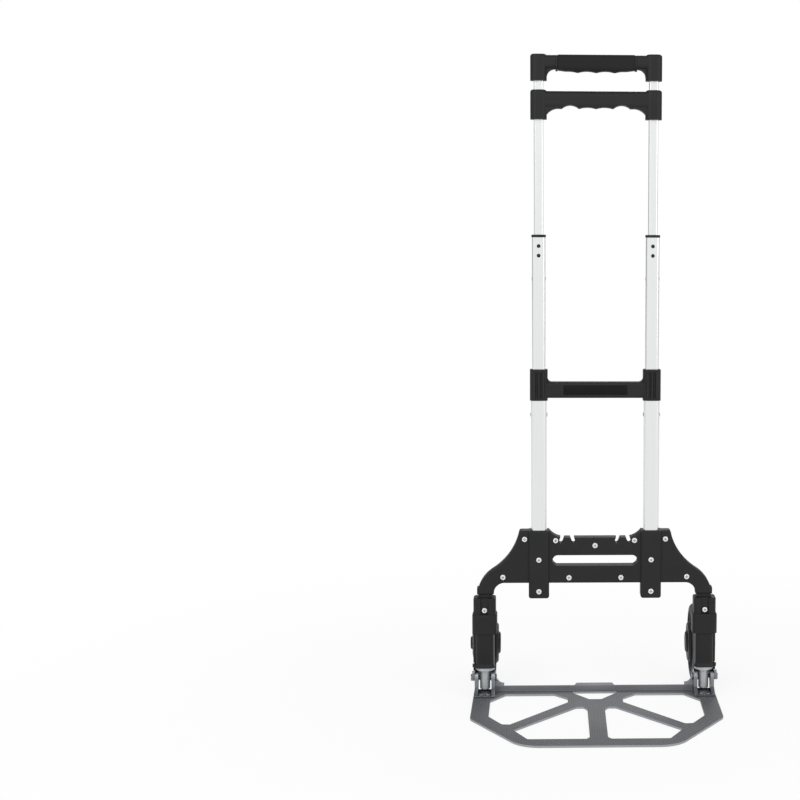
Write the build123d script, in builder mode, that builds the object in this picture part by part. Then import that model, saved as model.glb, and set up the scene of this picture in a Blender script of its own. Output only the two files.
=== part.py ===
"""Folding hand truck with a telescoping double-grip handle and wheels that fold in with the toe plate.

Millimetres, +Z up, +X to the right and -Y to the front. The origin is on the floor, midway between the
legs and straight below the toe plate's hinge axis, so the leg posts stand in the plane Y = 0.
"""
import os
from math import cos, radians, sin

from build123d import *

os.makedirs("parts", exist_ok=True)

# Clearances
FIT = 0.05          # still fits, each side
RUN = 0.05          # pins and shafts that turn, on the radius
SLIDE = 0.3         # sliding and swinging faces, each side

# Stance
POST_SPACING = 357.0
TUBE_SPACING = 181.0
HINGE_HEIGHT = 27.5

# Toe plate
PLATE_THICKNESS = 3.2
PLATE_OVERHANG = 18.0       # beyond the leg post axis
PLATE_REAR = 6.0
PLATE_SIDE_LENGTH = 146.0
PLATE_FRONT = 271.0
PLATE_FRONT_HALF_WIDTH = 115.0
PLATE_SIDE_CORNER = 22.0
PLATE_FRONT_CORNER = 50.0
WINDOW_CORNER = 4.0
# Window corners, as fractions of the plate's half width and of its reach to the front
REAR_WINDOW = (
    (0.225, 0.140), (0.333, 0.057), (0.735, 0.058), (0.857, 0.185),
    (0.855, 0.484), (0.745, 0.625), (0.683, 0.630), (0.225, 0.222),
)
FRONT_WINDOW = (
    (0.096, 0.311), (0.162, 0.313), (0.652, 0.729), (0.541, 0.886),
    (0.092, 0.886), (0.069, 0.856), (0.070, 0.356),
)
CENTRE_WINDOW = ((-0.205, 0.012), (0.205, 0.012), (0.050, 0.162), (-0.050, 0.162))
FLANGE_THICKNESS = 2.5
FLANGE_HEIGHT = 8.5
GUSSET_GAP = 20.0           # gusset beside the pin head, to leg post axis
CENTRE_TAB_HALF_WIDTH = 29.0
CENTRE_TAB_RISE = 4.0
GUSSET_LENGTH = 11.0
GUSSET_STEP = 5.0           # straight edge above the flange
GUSSET_RISE = 10.0          # curve above the step

# Hinge brackets under the legs
EAR_GAP = 21.4
EAR_THICKNESS = 5.8
EAR_RADIUS = 13.0
EAR_KNEE_HEIGHT = 12.6      # ear's front edge, where it leans out to the base
EAR_BASE_FRONT = 34.0
EAR_BASE_THICKNESS = 2.6
PIN_RADIUS = 3.0
PIN_HEAD_RADIUS = 5.5
PIN_HEAD_LENGTH = 2.6
LEVER_THICKNESS = 4.0
LEVER_REACH = 16.0
LEVER_TIP_RADIUS = 2.5
LEVER_HUB_RADIUS = 5.6
LEVER_REST_ANGLE = 45.0     # lever leans this far to the front at rest
RIVET_RADIUS = 2.5
RIVET_HEAD_RADIUS = 4.5
RIVET_HEAD_HEIGHT = 1.6
RIVET_SPACING = 11.0
RIVET_FORWARD = 26.0

# Leg posts, leg sockets and thrust collars
POST_RADIUS = 8.2
POST_WALL = 2.2
POST_FOOT = 9.0
POST_FOOT_ROUND = 1.5
POST_SOLID = 20.0           # solid stretch above the hinge pin
POST_INTO_ARM = 10.0
COLLAR_RADIUS = 15.2
COLLAR_BOTTOM = 41.5
COLLAR_HEIGHT = 4.7
BLOCK_WIDTH = 40.0
BLOCK_DEPTH = 34.0
BLOCK_HEIGHT = 32.0
BLOCK_CORNER = 7.0
NECK_WIDTH = 36.0
NECK_DEPTH = 30.0
NECK_HEIGHT = 26.5
NECK_CORNER = 6.0
NECK_EDGE = 2.0
SHANK_HEIGHT = 6.0          # between the neck and the chassis arm
NECK_CHANNEL_WIDTH = 13.0
NECK_CHANNEL_DEPTH = 2.5
LEG_SCREW_ABOVE_BLOCK = 6.7

# Wheel brackets
BRACKET_LENGTH = 56.2
BRACKET_WIDTH = 29.0
BRACKET_CORNER = 6.0
BRACKET_FOOT_WIDTH = 33.0
BRACKET_FOOT_CORNER = 9.0
BRACKET_FOOT_HEIGHT = 6.0
SPRING_POCKET_RADIUS = 11.5
SPRING_POCKET_DEPTH = 24.0
SPRING_WALL = 2.2
ARM_THICKNESS = 7.0
ARM_GAP = 2.0               # arm to tyre wall
ARM_ROOT_OUTWARD = 19.0     # arm's outer face beside the post
ARM_BOSS_RADIUS = 15.0
ARM_ROOT_FRONT = 3.0
ARM_ROOT_REAR = 13.0
ARM_ROOT_DROP = 4.0
ARM_EDGE = 3.0
PEG_RADIUS = 2.0
PEG_GAP = 0.9               # lever tip to peg at rest
PEG_LENGTH = 5.6
PEG_LUG_HEIGHT = 5.0
PEG_LUG_RADIUS = 3.4

# Wheels
AXLE_BACK = 82.0
WHEEL_RADIUS = 63.5
TYRE_HALF_WIDTH = 14.6
TYRE_HEIGHT = 13.5
TYRE_SHOULDER = 6.0
TREAD_GROOVES = 3
TREAD_GROOVE_WIDTH = 2.0
TREAD_GROOVE_DEPTH = 1.2
TREAD_GROOVE_PITCH = 6.5
RIM_HALF_WIDTH = 13.0
RIM_SEAT = 3.0
RIM_DEPTH = 7.0
RIM_WEB = 9.0              # inner face of the web
OUTER_WEB = 2.0            # outer face of the web
SPOKES = 6
SPOKE_WIDTH = 3.6
SPOKE_HEIGHT = 7.0
DISC_RADIUS = 34.0
DISC_INWARD = 19.5
DISC_STEP = 3.0
HUB_RADIUS = 18.5
HUB_INWARD = 23.0
HUB_ROUND = 2.5
HUB_NECK_RADIUS = 13.0
AXLE_RADIUS = 5.0
AXLE_HEAD_RADIUS = 11.0
AXLE_HEAD_LENGTH = 3.6
BUSH_WALL = 2.0
NUT_RADIUS = 8.5
NUT_SIDES = 6
NUT_LENGTH = 5.0
NUT_ROOM = 1.0
AXLE_STUB = 2.0
CAP_RADIUS = 14.0
CAP_THICKNESS = 3.0
CAP_STEP = 1.5

# Chassis
CHASSIS_HALF_DEPTH = 11.0
CHASSIS_WALL = 3.0
CHASSIS_EDGE = 2.5
CHASSIS_HEIGHT = 86.0
CHASSIS_TOP_OUTWARD = 31.5  # top corner from the tube axis
CHASSIS_TOP_CORNER = 4.0
CHASSIS_SAG = 11.5          # top edge between the tubes, below the top corners
SAG_RUN = 20.0
SAG_RADIUS = 30.0
SHOULDER_INWARD = 42.0      # from the leg post axis
SHOULDER_RISE = 50.0        # above the lower edge
ARM_BEND_INWARD = 13.5
ARM_BEND_RISE = 22.0
ARM_INNER = 15.0            # arm's inner edge from the leg post axis
ARM_OUTER = 12.0            # arm's outer edge from the leg post axis
ARM_CROOK = 16.0
CROOK_RISE = 18.5           # chassis' lower edge above the leg socket
BARREL_WIDTH = 33.0
BARREL_HALF_DEPTH = 14.0
BARREL_DROP = 25.0          # below the chassis' lower edge
BARREL_EDGE = 3.0
BARREL_CORNER = 4.0
SLOT_LENGTH = 137.0
SLOT_HEIGHT = 17.4
SLOT_RISE = 37.0            # above the lower edge
NOTCH_WIDTH = 6.0
NOTCH_DEPTH = 10.0
NOTCH_INNER = 37.2
NOTCH_OUTER = 52.8
NOTCH_LEAN = 20.0           # notches of a pair spread towards their feet
BOSS_RADIUS = 4.6
SCREW_RADIUS = 1.9
SCREW_HEAD_RADIUS = 4.4
SCREW_HEAD_HEIGHT = 2.2
SCREW_LENGTH = 15.0
SCREW_RECESS = 1.2
SCREW_TO_EDGE = 9.0
# Chassis screws, each its distance from the middle and its height above the lower edge
SHELL_SCREWS = ((0, 61.5), (42, 9), (63.7, 69.8), (113.5, 72), (148.6, 10))
BARREL_SCREW_RISES = (11.8, 63.6)
HEADS_FRONT = 90            # turns of the screws about X
HEADS_REAR = -90

# Telescoping tubes
LOWER_WIDTH = 25.2
LOWER_DEPTH = 20.0
LOWER_CORNER = 6.0
LOWER_WALL = 1.3
LOWER_LENGTH = 361.0
END_CAP_HEIGHT = 6.0
END_CAP_SPIGOT = 10.0
MIDDLE_GAP = 0.7            # lower tube's bore to middle tube
MIDDLE_WALL = 1.5
MIDDLE_SHOWN = 214.0        # middle tube above the lower tube
UPPER_GAP = 1.7             # middle tube's bore to upper tube
UPPER_WALL = 1.2
UPPER_SHOWN = 180.0         # upper tube between collar and lower grip
COLLAR_RING_HEIGHT = 4.0
COLLAR_RING_LIP = 1.0
COLLAR_SLEEVE = 42.0
COLLAR_RIVET_DROPS = (14.0, 29.0)
COLLAR_RIVET_RADIUS = 3.0
COLLAR_RIVET_SINK = 0.9
COLLAR_RIVET_SHANK = 1.6
LOWER_SNAP_DROP = 69.0      # button below the lower tube's top
MIDDLE_SNAP_DROP = 66.0     # button below the middle tube's top
SNAP_TO_END = 30.0          # button above its own tube's lower end
SNAP_RADIUS = 3.0
SNAP_PROUD = 1.2
SNAP_ROUND = 0.9
SNAP_STRIP = 0.8
SNAP_STRIP_WIDTH = 6.0
SNAP_LEG_ABOVE = 5.0
SNAP_LEG_BELOW = 20.0
PLUG_FLANGE = 3.0
PLUG_SPIGOT = 6.0

# Middle crossbar
SOCKET_WIDTH = 28.5
SOCKET_DEPTH = 25.0
SOCKET_CORNER = 8.0
SOCKET_HEIGHT = 50.0
SOCKET_LIP = 4.3
SOCKET_EDGE = 1.5
BAR_DEPTH = 20.0
BAR_HEIGHT = 26.0
BAR_ABOVE_SOCKET_FOOT = 4.0
BAR_EDGE = 5.0
BAR_WEB = 6.0
LABEL_LENGTH = 102.0
LABEL_HEIGHT = 15.0
LABEL_RECESS = 0.6
RIBS = 3
RIB_RADIUS = 2.4
RIB_PITCH = 7.0
RIB_MARGIN = 4.0

# Double grip
GRIP_SOCKET_WIDTH = 26.0
GRIP_SOCKET_DEPTH = 22.0
GRIP_SOCKET_CORNER = 9.0
LOWER_GRIP_SOCKET = 46.0
GRIP_GAP = 14.0             # tube shown between the two grips
TOP_GRIP_SOCKET = 41.0
TOP_GRIP_CROWN = 5.0        # above the upper tube's end
GRIP_EDGE = 4.0
HANDLE_DEPTH = 20.0
HANDLE_HEIGHT = 22.0
HANDLE_ROUND = 8.0
HANDLE_TOP_DROP = 1.5       # handle bar below the sockets' top
HANDLE_WEB = 12.0
SLEEVE_LENGTH = 120.0
SLEEVE_SIDE = 1.6
SLEEVE_TOP = 0.8
SLEEVE_BOTTOM = 5.2
FINGER_PITCH = 29.2
FINGER_GROOVES = 4
FINGER_DEPTH = 2.6
SLEEVE_END_DEPTH = 1.0      # sleeve below the bar at its ends
LOWER_BAR_HEIGHT = 27.5
LOWER_BAR_TOP_DROP = 2.0
LOWER_WEB_DROP = 8.5
LOWER_FINGER_PITCH = 27.0
# Finger grooves of the lower grip, in pitches from the middle, and their depths
LOWER_FINGERS = ((-1.5, 5.6), (-0.5, 2.4), (0.5, 2.4), (1.5, 5.6))

# Places worked out from the sizes above
POST_X = POST_SPACING / 2
TUBE_X = TUBE_SPACING / 2
PLATE_HALF_WIDTH = POST_X + PLATE_OVERHANG
PLATE_TOP = PLATE_THICKNESS
EAR_INNER = EAR_GAP / 2
EAR_OUTER = EAR_INNER + EAR_THICKNESS
LEVER_OUTER = EAR_OUTER + LEVER_THICKNESS
BRACKET_BOTTOM = COLLAR_BOTTOM + COLLAR_HEIGHT + SLIDE
BRACKET_TOP = BRACKET_BOTTOM + BRACKET_LENGTH
BLOCK_BOTTOM = BRACKET_TOP + SLIDE
BLOCK_TOP = BLOCK_BOTTOM + BLOCK_HEIGHT
NECK_TOP = BLOCK_TOP + NECK_HEIGHT
SHANK_TOP = NECK_TOP + SHANK_HEIGHT
CHASSIS_LOWER_EDGE = SHANK_TOP + CROOK_RISE
LEG_SCREW_Z = BLOCK_TOP + LEG_SCREW_ABOVE_BLOCK
POST_TOP = SHANK_TOP + POST_INTO_ARM
ARM_INNER_FACE = TYRE_HALF_WIDTH + ARM_GAP
ARM_OUTER_FACE = ARM_INNER_FACE + ARM_THICKNESS
CHASSIS_TOP = CHASSIS_LOWER_EDGE + CHASSIS_HEIGHT
SLOT_CENTRE = CHASSIS_LOWER_EDGE + SLOT_RISE
BARREL_BOTTOM = CHASSIS_LOWER_EDGE - BARREL_DROP
BARREL_SCREW_HEIGHTS = [BARREL_BOTTOM + rise for rise in BARREL_SCREW_RISES]
LOWER_BOTTOM = BARREL_BOTTOM + END_CAP_HEIGHT
LOWER_TOP = LOWER_BOTTOM + LOWER_LENGTH
MIDDLE_WIDTH = LOWER_WIDTH - 2 * (LOWER_WALL + MIDDLE_GAP)
MIDDLE_DEPTH = LOWER_DEPTH - 2 * (LOWER_WALL + MIDDLE_GAP)
MIDDLE_CORNER = LOWER_CORNER - LOWER_WALL - MIDDLE_GAP
MIDDLE_TOP = LOWER_TOP + MIDDLE_SHOWN
LOWER_SNAP_Z = LOWER_TOP - LOWER_SNAP_DROP
MIDDLE_BOTTOM = LOWER_SNAP_Z - SNAP_TO_END
UPPER_WIDTH = MIDDLE_WIDTH - 2 * (MIDDLE_WALL + UPPER_GAP)
UPPER_DEPTH = MIDDLE_DEPTH - 2 * (MIDDLE_WALL + UPPER_GAP)
UPPER_CORNER = MIDDLE_CORNER - MIDDLE_WALL
MIDDLE_SNAP_Z = MIDDLE_TOP - MIDDLE_SNAP_DROP
UPPER_BOTTOM = MIDDLE_SNAP_Z - SNAP_TO_END
LOWER_GRIP_Z = MIDDLE_TOP + COLLAR_RING_HEIGHT + UPPER_SHOWN
LOWER_GRIP_TOP = LOWER_GRIP_Z + LOWER_GRIP_SOCKET
TOP_GRIP_Z = LOWER_GRIP_TOP + GRIP_GAP
TOP_GRIP_TOP = TOP_GRIP_Z + TOP_GRIP_SOCKET
UPPER_TOP = TOP_GRIP_TOP - TOP_GRIP_CROWN
SOCKET_TOP = LOWER_TOP + SOCKET_LIP
SOCKET_BOTTOM = SOCKET_TOP - SOCKET_HEIGHT
CROSSBAR_SCREW_Z = SOCKET_BOTTOM + SCREW_TO_EDGE
LOWER_GRIP_SCREW_Z = LOWER_GRIP_Z + SCREW_TO_EDGE
TOP_GRIP_SCREW_Z = TOP_GRIP_Z + SCREW_TO_EDGE


def save(builder, name):
    """Label a finished piece and write it to its own file."""
    builder.part.label = name
    export_step(builder.part, f"parts/{name}.step")


def save_pair(left, stem):
    """Write a left-hand piece and its mirror image on the right."""
    save(left, f"left_{stem}")
    with BuildPart() as right:
        mirror(left.part, about=Plane.YZ)
    save(right, f"right_{stem}")


def square_tube(x, bottom, length, width, depth, corner, wall):
    """Straight tube with a rounded rectangular section, standing at x."""
    with BuildPart() as tube:
        with BuildSketch(Plane.XY.offset(bottom)):
            with Locations((x, 0)):
                RectangleRounded(width, depth, corner)
                RectangleRounded(width - 2 * wall, depth - 2 * wall, corner - wall, mode=Mode.SUBTRACT)
        extrude(amount=length)
    return tube


def cross_hole(x, z, radius, span):
    """Cut a hole along X through both side walls of the piece being made."""
    with Locations((x, 0, z)):
        Cylinder(radius, span, rotation=(0, 90, 0), mode=Mode.SUBTRACT)


def wall_hole(x, y, z, radius, depth):
    """Cut a hole along Y, centred on a wall of the piece being made."""
    with Locations((x, y, z)):
        Cylinder(radius, depth, rotation=(90, 0, 0), mode=Mode.SUBTRACT)


def screws(places, shank, turn):
    """Round-headed screws, each with the centre of its seat, and a turn that faces the heads."""
    with BuildPart() as group:
        with Locations(*[Location(place, (turn, 0, 0)) for place in places]):
            Cylinder(SCREW_HEAD_RADIUS, SCREW_HEAD_HEIGHT, align=(Align.CENTER, Align.CENTER, Align.MIN))
            Cylinder(SCREW_RADIUS, shank, align=(Align.CENTER, Align.CENTER, Align.MAX))
        rims = group.edges().filter_by(GeomType.CIRCLE).sort_by(Axis.Y)
        outer = rims[: len(places)] if turn > 0 else rims[-len(places):]
        chamfer(outer, SCREW_HEAD_HEIGHT / 3)
        with Locations(*[Location(place, (turn, 0, 0)) for place in places]):
            with Locations((0, 0, SCREW_HEAD_HEIGHT)):
                Box(SCREW_HEAD_RADIUS, SCREW_RECESS, 2 * SCREW_RECESS, mode=Mode.SUBTRACT)
                Box(SCREW_RECESS, SCREW_HEAD_RADIUS, 2 * SCREW_RECESS, mode=Mode.SUBTRACT)
    return group


def corner_arc(start, end):
    """Arc in the line being drawn, round a centre level with its start and plumb with its end."""
    half = cos(radians(45))
    middle = (end[0] + (start[0] - end[0]) * half, start[1] + (end[1] - start[1]) * half)
    ThreePointArc(start, middle, end)


def window(corners):
    """Face of one window in the toe plate, with rounded corners."""
    with BuildSketch() as face:
        with BuildLine():
            Polyline(*[(PLATE_HALF_WIDTH * x, -PLATE_FRONT * y) for x, y in corners], close=True)
        make_face()
        fillet(face.vertices(), WINDOW_CORNER)
    return face.sketch


# Toe plate: flat sheet with five windows, and a flange with a tab and gussets along its rear edge
rear_window = window(REAR_WINDOW)
front_window = window(FRONT_WINDOW)
centre_window = window(CENTRE_WINDOW)
RIVET_PLACES = [
    (side * POST_X + across * RIVET_SPACING / 2, -RIVET_FORWARD)
    for side in (-1, 1)
    for across in (-1, 1)
]

with BuildPart() as toe_plate:
    with BuildSketch():
        with BuildLine():
            Polyline(
                (0, PLATE_REAR),
                (PLATE_HALF_WIDTH, PLATE_REAR),
                (PLATE_HALF_WIDTH, PLATE_REAR - PLATE_SIDE_LENGTH),
                (PLATE_FRONT_HALF_WIDTH, -PLATE_FRONT),
                (0, -PLATE_FRONT),
            )
            mirror(about=Plane.YZ)
        make_face()
    extrude(amount=PLATE_THICKNESS)
    upright = toe_plate.edges().filter_by(Axis.Z).group_by(Axis.Y)
    fillet(upright[0], PLATE_FRONT_CORNER)
    fillet(upright[1], PLATE_SIDE_CORNER)
    with BuildSketch():
        for face in (rear_window, front_window):
            add(face)
            mirror(face, about=Plane.YZ)
        add(centre_window)
        with Locations(*RIVET_PLACES):
            Circle(RIVET_RADIUS + FIT)
    extrude(amount=PLATE_THICKNESS, mode=Mode.SUBTRACT)
    flange_end = POST_X - EAR_OUTER - FIT
    flange_top = PLATE_TOP + FLANGE_HEIGHT
    below_pin = HINGE_HEIGHT - PIN_HEAD_RADIUS - SLIDE
    gusset_side = POST_X - GUSSET_GAP
    gusset_foot = flange_top + GUSSET_STEP
    with BuildSketch(Plane.XZ.offset(-PLATE_REAR)):
        with BuildLine():
            Polyline(
                (0, PLATE_TOP),
                (flange_end, PLATE_TOP),
                (flange_end, below_pin),
                (gusset_side, below_pin),
                (gusset_side, gusset_foot + GUSSET_RISE),
            )
            corner_arc((gusset_side, gusset_foot + GUSSET_RISE), (gusset_side - GUSSET_RISE, gusset_foot))
            Polyline(
                (gusset_side - GUSSET_RISE, gusset_foot),
                (gusset_side - GUSSET_LENGTH, gusset_foot),
                (gusset_side - GUSSET_LENGTH, flange_top),
                (CENTRE_TAB_HALF_WIDTH + CENTRE_TAB_RISE, flange_top),
                (CENTRE_TAB_HALF_WIDTH, flange_top + CENTRE_TAB_RISE),
                (0, flange_top + CENTRE_TAB_RISE),
            )
            mirror(about=Plane.YZ)
        make_face()
    extrude(amount=FLANGE_THICKNESS)
save(toe_plate, "toe_plate")

# Hinge brackets: two ears on a base, and on the outer ear the lever that turns the wheel bracket
lever_tip = (
    -LEVER_REACH * sin(radians(LEVER_REST_ANGLE)),
    HINGE_HEIGHT + LEVER_REACH * cos(radians(LEVER_REST_ANGLE)),
)
base_top = PLATE_TOP + EAR_BASE_THICKNESS
with BuildPart() as hinge_bracket:
    with BuildSketch(Plane.XY.offset(PLATE_TOP)):
        with Locations((-POST_X, (PLATE_REAR - EAR_BASE_FRONT) / 2)):
            Rectangle(2 * EAR_OUTER, EAR_BASE_FRONT + PLATE_REAR)
        with Locations(*[place for place in RIVET_PLACES if place[0] < 0]):
            Circle(RIVET_RADIUS + FIT, mode=Mode.SUBTRACT)
    extrude(amount=EAR_BASE_THICKNESS)
    for inner_face in (-POST_X - EAR_OUTER, -POST_X + EAR_INNER):
        with BuildSketch(Plane.YZ.offset(inner_face)):
            with Locations((0, HINGE_HEIGHT)):
                Circle(EAR_RADIUS)
            with BuildLine():
                Polyline(
                    (-EAR_RADIUS, HINGE_HEIGHT),
                    (-EAR_RADIUS, EAR_KNEE_HEIGHT),
                    (-EAR_BASE_FRONT, base_top),
                    (-EAR_BASE_FRONT, PLATE_TOP),
                    (PLATE_REAR, PLATE_TOP),
                    (EAR_RADIUS, HINGE_HEIGHT),
                    close=True,
                )
            make_face()
        extrude(amount=EAR_THICKNESS)
    with BuildSketch(Plane.YZ.offset(-POST_X - LEVER_OUTER)):
        with Locations((0, HINGE_HEIGHT)):
            Circle(LEVER_HUB_RADIUS)
        with Locations(lever_tip):
            Circle(LEVER_TIP_RADIUS)
        make_hull()
    extrude(amount=LEVER_THICKNESS)
    cross_hole(-POST_X, HINGE_HEIGHT, PIN_RADIUS + RUN, 2 * LEVER_OUTER + EAR_GAP)
save_pair(hinge_bracket, "hinge_bracket")

with BuildPart() as plate_rivets:
    with Locations(*RIVET_PLACES):
        Cylinder(RIVET_RADIUS, base_top, align=(Align.CENTER, Align.CENTER, Align.MIN))
        with Locations((0, 0, base_top)):
            Cylinder(RIVET_HEAD_RADIUS, RIVET_HEAD_HEIGHT, align=(Align.CENTER, Align.CENTER, Align.MIN))
    chamfer(plate_rivets.edges().group_by(Axis.Z)[-1], RIVET_HEAD_HEIGHT / 2)
save(plate_rivets, "hinge_bracket_rivets")

with BuildPart() as hinge_pin:
    pin_length = LEVER_OUTER + EAR_OUTER
    with Locations((-POST_X + (EAR_OUTER - LEVER_OUTER) / 2, 0, HINGE_HEIGHT)):
        Cylinder(PIN_RADIUS, pin_length, rotation=(0, 90, 0))
        for end in (-1, 1):
            with Locations((end * (pin_length + PIN_HEAD_LENGTH) / 2, 0, 0)):
                Cylinder(PIN_HEAD_RADIUS, PIN_HEAD_LENGTH, rotation=(0, 90, 0))
save_pair(hinge_pin, "hinge_pin")

# Legs: posts with rounded feet, thrust collars and the sockets that tie them to the chassis
with BuildPart() as leg_post:
    with Locations((-POST_X, 0, POST_FOOT)):
        Cylinder(POST_RADIUS, POST_TOP - POST_FOOT, align=(Align.CENTER, Align.CENTER, Align.MIN))
    fillet(leg_post.edges().group_by(Axis.Z)[0], POST_FOOT_ROUND)
    bore_bottom = HINGE_HEIGHT + POST_SOLID
    with Locations((-POST_X, 0, bore_bottom)):
        Cylinder(
            POST_RADIUS - POST_WALL,
            POST_TOP - bore_bottom,
            align=(Align.CENTER, Align.CENTER, Align.MIN),
            mode=Mode.SUBTRACT,
        )
    cross_hole(-POST_X, HINGE_HEIGHT, PIN_RADIUS + RUN, 2 * POST_RADIUS + PIN_RADIUS)
    wall_hole(-POST_X, -POST_RADIUS, LEG_SCREW_Z, SCREW_RADIUS + FIT, 2 * POST_WALL + SCREW_RADIUS)
save_pair(leg_post, "leg_post")

with BuildPart() as thrust_collars:
    with BuildSketch(Plane.XY.offset(COLLAR_BOTTOM)):
        with Locations((-POST_X, 0), (POST_X, 0)):
            Circle(COLLAR_RADIUS)
            Circle(POST_RADIUS + FIT, mode=Mode.SUBTRACT)
    extrude(amount=COLLAR_HEIGHT)
save(thrust_collars, "thrust_collars")

neck_seat = NECK_DEPTH / 2 - NECK_CHANNEL_DEPTH
leg_screw_length = neck_seat - POST_RADIUS + POST_WALL
with BuildPart() as leg_socket:
    with BuildSketch(Plane.XY.offset(BLOCK_BOTTOM)):
        with Locations((-POST_X, 0)):
            RectangleRounded(BLOCK_WIDTH, BLOCK_DEPTH, BLOCK_CORNER)
    extrude(amount=BLOCK_HEIGHT)
    fillet(leg_socket.edges().group_by(Axis.Z)[-1], (BLOCK_WIDTH - NECK_WIDTH) / 2)
    with BuildSketch(Plane.XY.offset(BLOCK_TOP)):
        with Locations((-POST_X, 0)):
            RectangleRounded(NECK_WIDTH, NECK_DEPTH, NECK_CORNER)
    extrude(amount=NECK_HEIGHT)
    fillet(leg_socket.edges().group_by(Axis.Z)[-1], NECK_EDGE)
    with BuildSketch(Plane.XY.offset(NECK_TOP)):
        with Locations((-POST_X + (ARM_INNER - ARM_OUTER) / 2, 0)):
            Rectangle(ARM_INNER + ARM_OUTER - 2 * NECK_EDGE, 2 * CHASSIS_HALF_DEPTH - 2 * NECK_EDGE)
    extrude(amount=SHANK_HEIGHT)
    with Locations((-POST_X, -NECK_DEPTH / 2, BLOCK_TOP)):
        Box(
            NECK_CHANNEL_WIDTH,
            2 * NECK_CHANNEL_DEPTH,
            NECK_HEIGHT,
            align=(Align.CENTER, Align.CENTER, Align.MIN),
            mode=Mode.SUBTRACT,
        )
    with Locations((-POST_X, 0, BLOCK_BOTTOM)):
        Cylinder(
            POST_RADIUS + FIT,
            SHANK_TOP - BLOCK_BOTTOM,
            align=(Align.CENTER, Align.CENTER, Align.MIN),
            mode=Mode.SUBTRACT,
        )
    wall_hole(-POST_X, -neck_seat, LEG_SCREW_Z, SCREW_RADIUS + FIT, 2 * leg_screw_length)
save_pair(leg_socket, "leg_socket")

leg_screw_places = [(side * POST_X, -neck_seat, LEG_SCREW_Z) for side in (-1, 1)]
leg_screws = screws(leg_screw_places, leg_screw_length, HEADS_FRONT)
save(leg_screws, "leg_screws")

# Wheel brackets: a sleeve that turns on the leg post, an arm outside it and the peg the lever pushes
peg_offset = (LEVER_TIP_RADIUS + PEG_RADIUS + PEG_GAP) / sin(radians(LEVER_REST_ANGLE))
peg_place = (
    -POST_X - LEVER_REACH * cos(radians(LEVER_REST_ANGLE)) - peg_offset * sin(radians(LEVER_REST_ANGLE)),
    -LEVER_REACH * sin(radians(LEVER_REST_ANGLE)) + peg_offset * cos(radians(LEVER_REST_ANGLE)),
)
with BuildPart() as wheel_bracket:
    root_height = BRACKET_LENGTH - BRACKET_FOOT_HEIGHT - ARM_ROOT_DROP
    root_depth = ARM_ROOT_FRONT + ARM_ROOT_REAR
    root_centre = (
        (ARM_ROOT_REAR - ARM_ROOT_FRONT) / 2,
        BRACKET_BOTTOM + BRACKET_FOOT_HEIGHT + root_height / 2,
    )
    with BuildSketch(Plane.XY.offset(BRACKET_BOTTOM)) as arm_plan:
        with BuildLine():
            Polyline(
                (-POST_X, -ARM_ROOT_FRONT),
                (-POST_X - ARM_ROOT_OUTWARD, -ARM_ROOT_FRONT),
                (-POST_X - ARM_ROOT_OUTWARD, ARM_ROOT_REAR),
                (-POST_X - ARM_OUTER_FACE, AXLE_BACK - ARM_BOSS_RADIUS),
                (-POST_X - ARM_OUTER_FACE, AXLE_BACK + ARM_BOSS_RADIUS),
                (-POST_X - ARM_INNER_FACE, AXLE_BACK + ARM_BOSS_RADIUS),
                (-POST_X - ARM_INNER_FACE, ARM_ROOT_REAR),
                (-POST_X, ARM_ROOT_REAR),
                close=True,
            )
        make_face()
        fillet(arm_plan.vertices().group_by(Axis.Y)[0].sort_by(Axis.X)[0], ARM_EDGE)
    extrude(amount=BRACKET_LENGTH)
    with BuildSketch(Plane.YZ.offset(-POST_X - ARM_OUTER_FACE)):
        with Locations(root_centre):
            Rectangle(root_depth, root_height)
        with Locations((AXLE_BACK, WHEEL_RADIUS)):
            Circle(ARM_BOSS_RADIUS)
        make_hull()
    extrude(amount=ARM_OUTER_FACE, mode=Mode.INTERSECT)
    with BuildSketch(Plane.XY.offset(BRACKET_BOTTOM)):
        with Locations((-POST_X, 0)):
            RectangleRounded(BRACKET_WIDTH, BRACKET_WIDTH, BRACKET_CORNER)
    extrude(amount=BRACKET_LENGTH)
    for rise, width, corner in (
        (0, BRACKET_FOOT_WIDTH, BRACKET_FOOT_CORNER),
        (BRACKET_FOOT_HEIGHT, BRACKET_WIDTH, BRACKET_CORNER),
    ):
        with BuildSketch(Plane.XY.offset(BRACKET_BOTTOM + rise)):
            with Locations((-POST_X, 0)):
                RectangleRounded(width, width, corner)
    loft()
    with BuildSketch(Plane.XY.offset(BRACKET_BOTTOM)):
        with Locations((-POST_X, 0)):
            Circle(BRACKET_WIDTH / 2)
        with Locations(peg_place):
            Circle(PEG_LUG_RADIUS)
        make_hull()
    extrude(amount=PEG_LUG_HEIGHT)
    with BuildSketch(Plane.XY.offset(BRACKET_BOTTOM)):
        with Locations(peg_place):
            Circle(PEG_RADIUS)
    extrude(amount=-PEG_LENGTH)
    with Locations((-POST_X, 0, BRACKET_BOTTOM)):
        Cylinder(
            POST_RADIUS + RUN,
            BRACKET_LENGTH,
            align=(Align.CENTER, Align.CENTER, Align.MIN),
            mode=Mode.SUBTRACT,
        )
    with Locations((-POST_X, 0, BRACKET_TOP)):
        Cylinder(
            SPRING_POCKET_RADIUS,
            SPRING_POCKET_DEPTH,
            align=(Align.CENTER, Align.CENTER, Align.MAX),
            mode=Mode.SUBTRACT,
        )
    with Locations((-POST_X - ARM_OUTER_FACE, AXLE_BACK, WHEEL_RADIUS)):
        Cylinder(AXLE_RADIUS + FIT, 2 * ARM_THICKNESS + FIT, rotation=(0, 90, 0), mode=Mode.SUBTRACT)
save_pair(wheel_bracket, "wheel_bracket")

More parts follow.
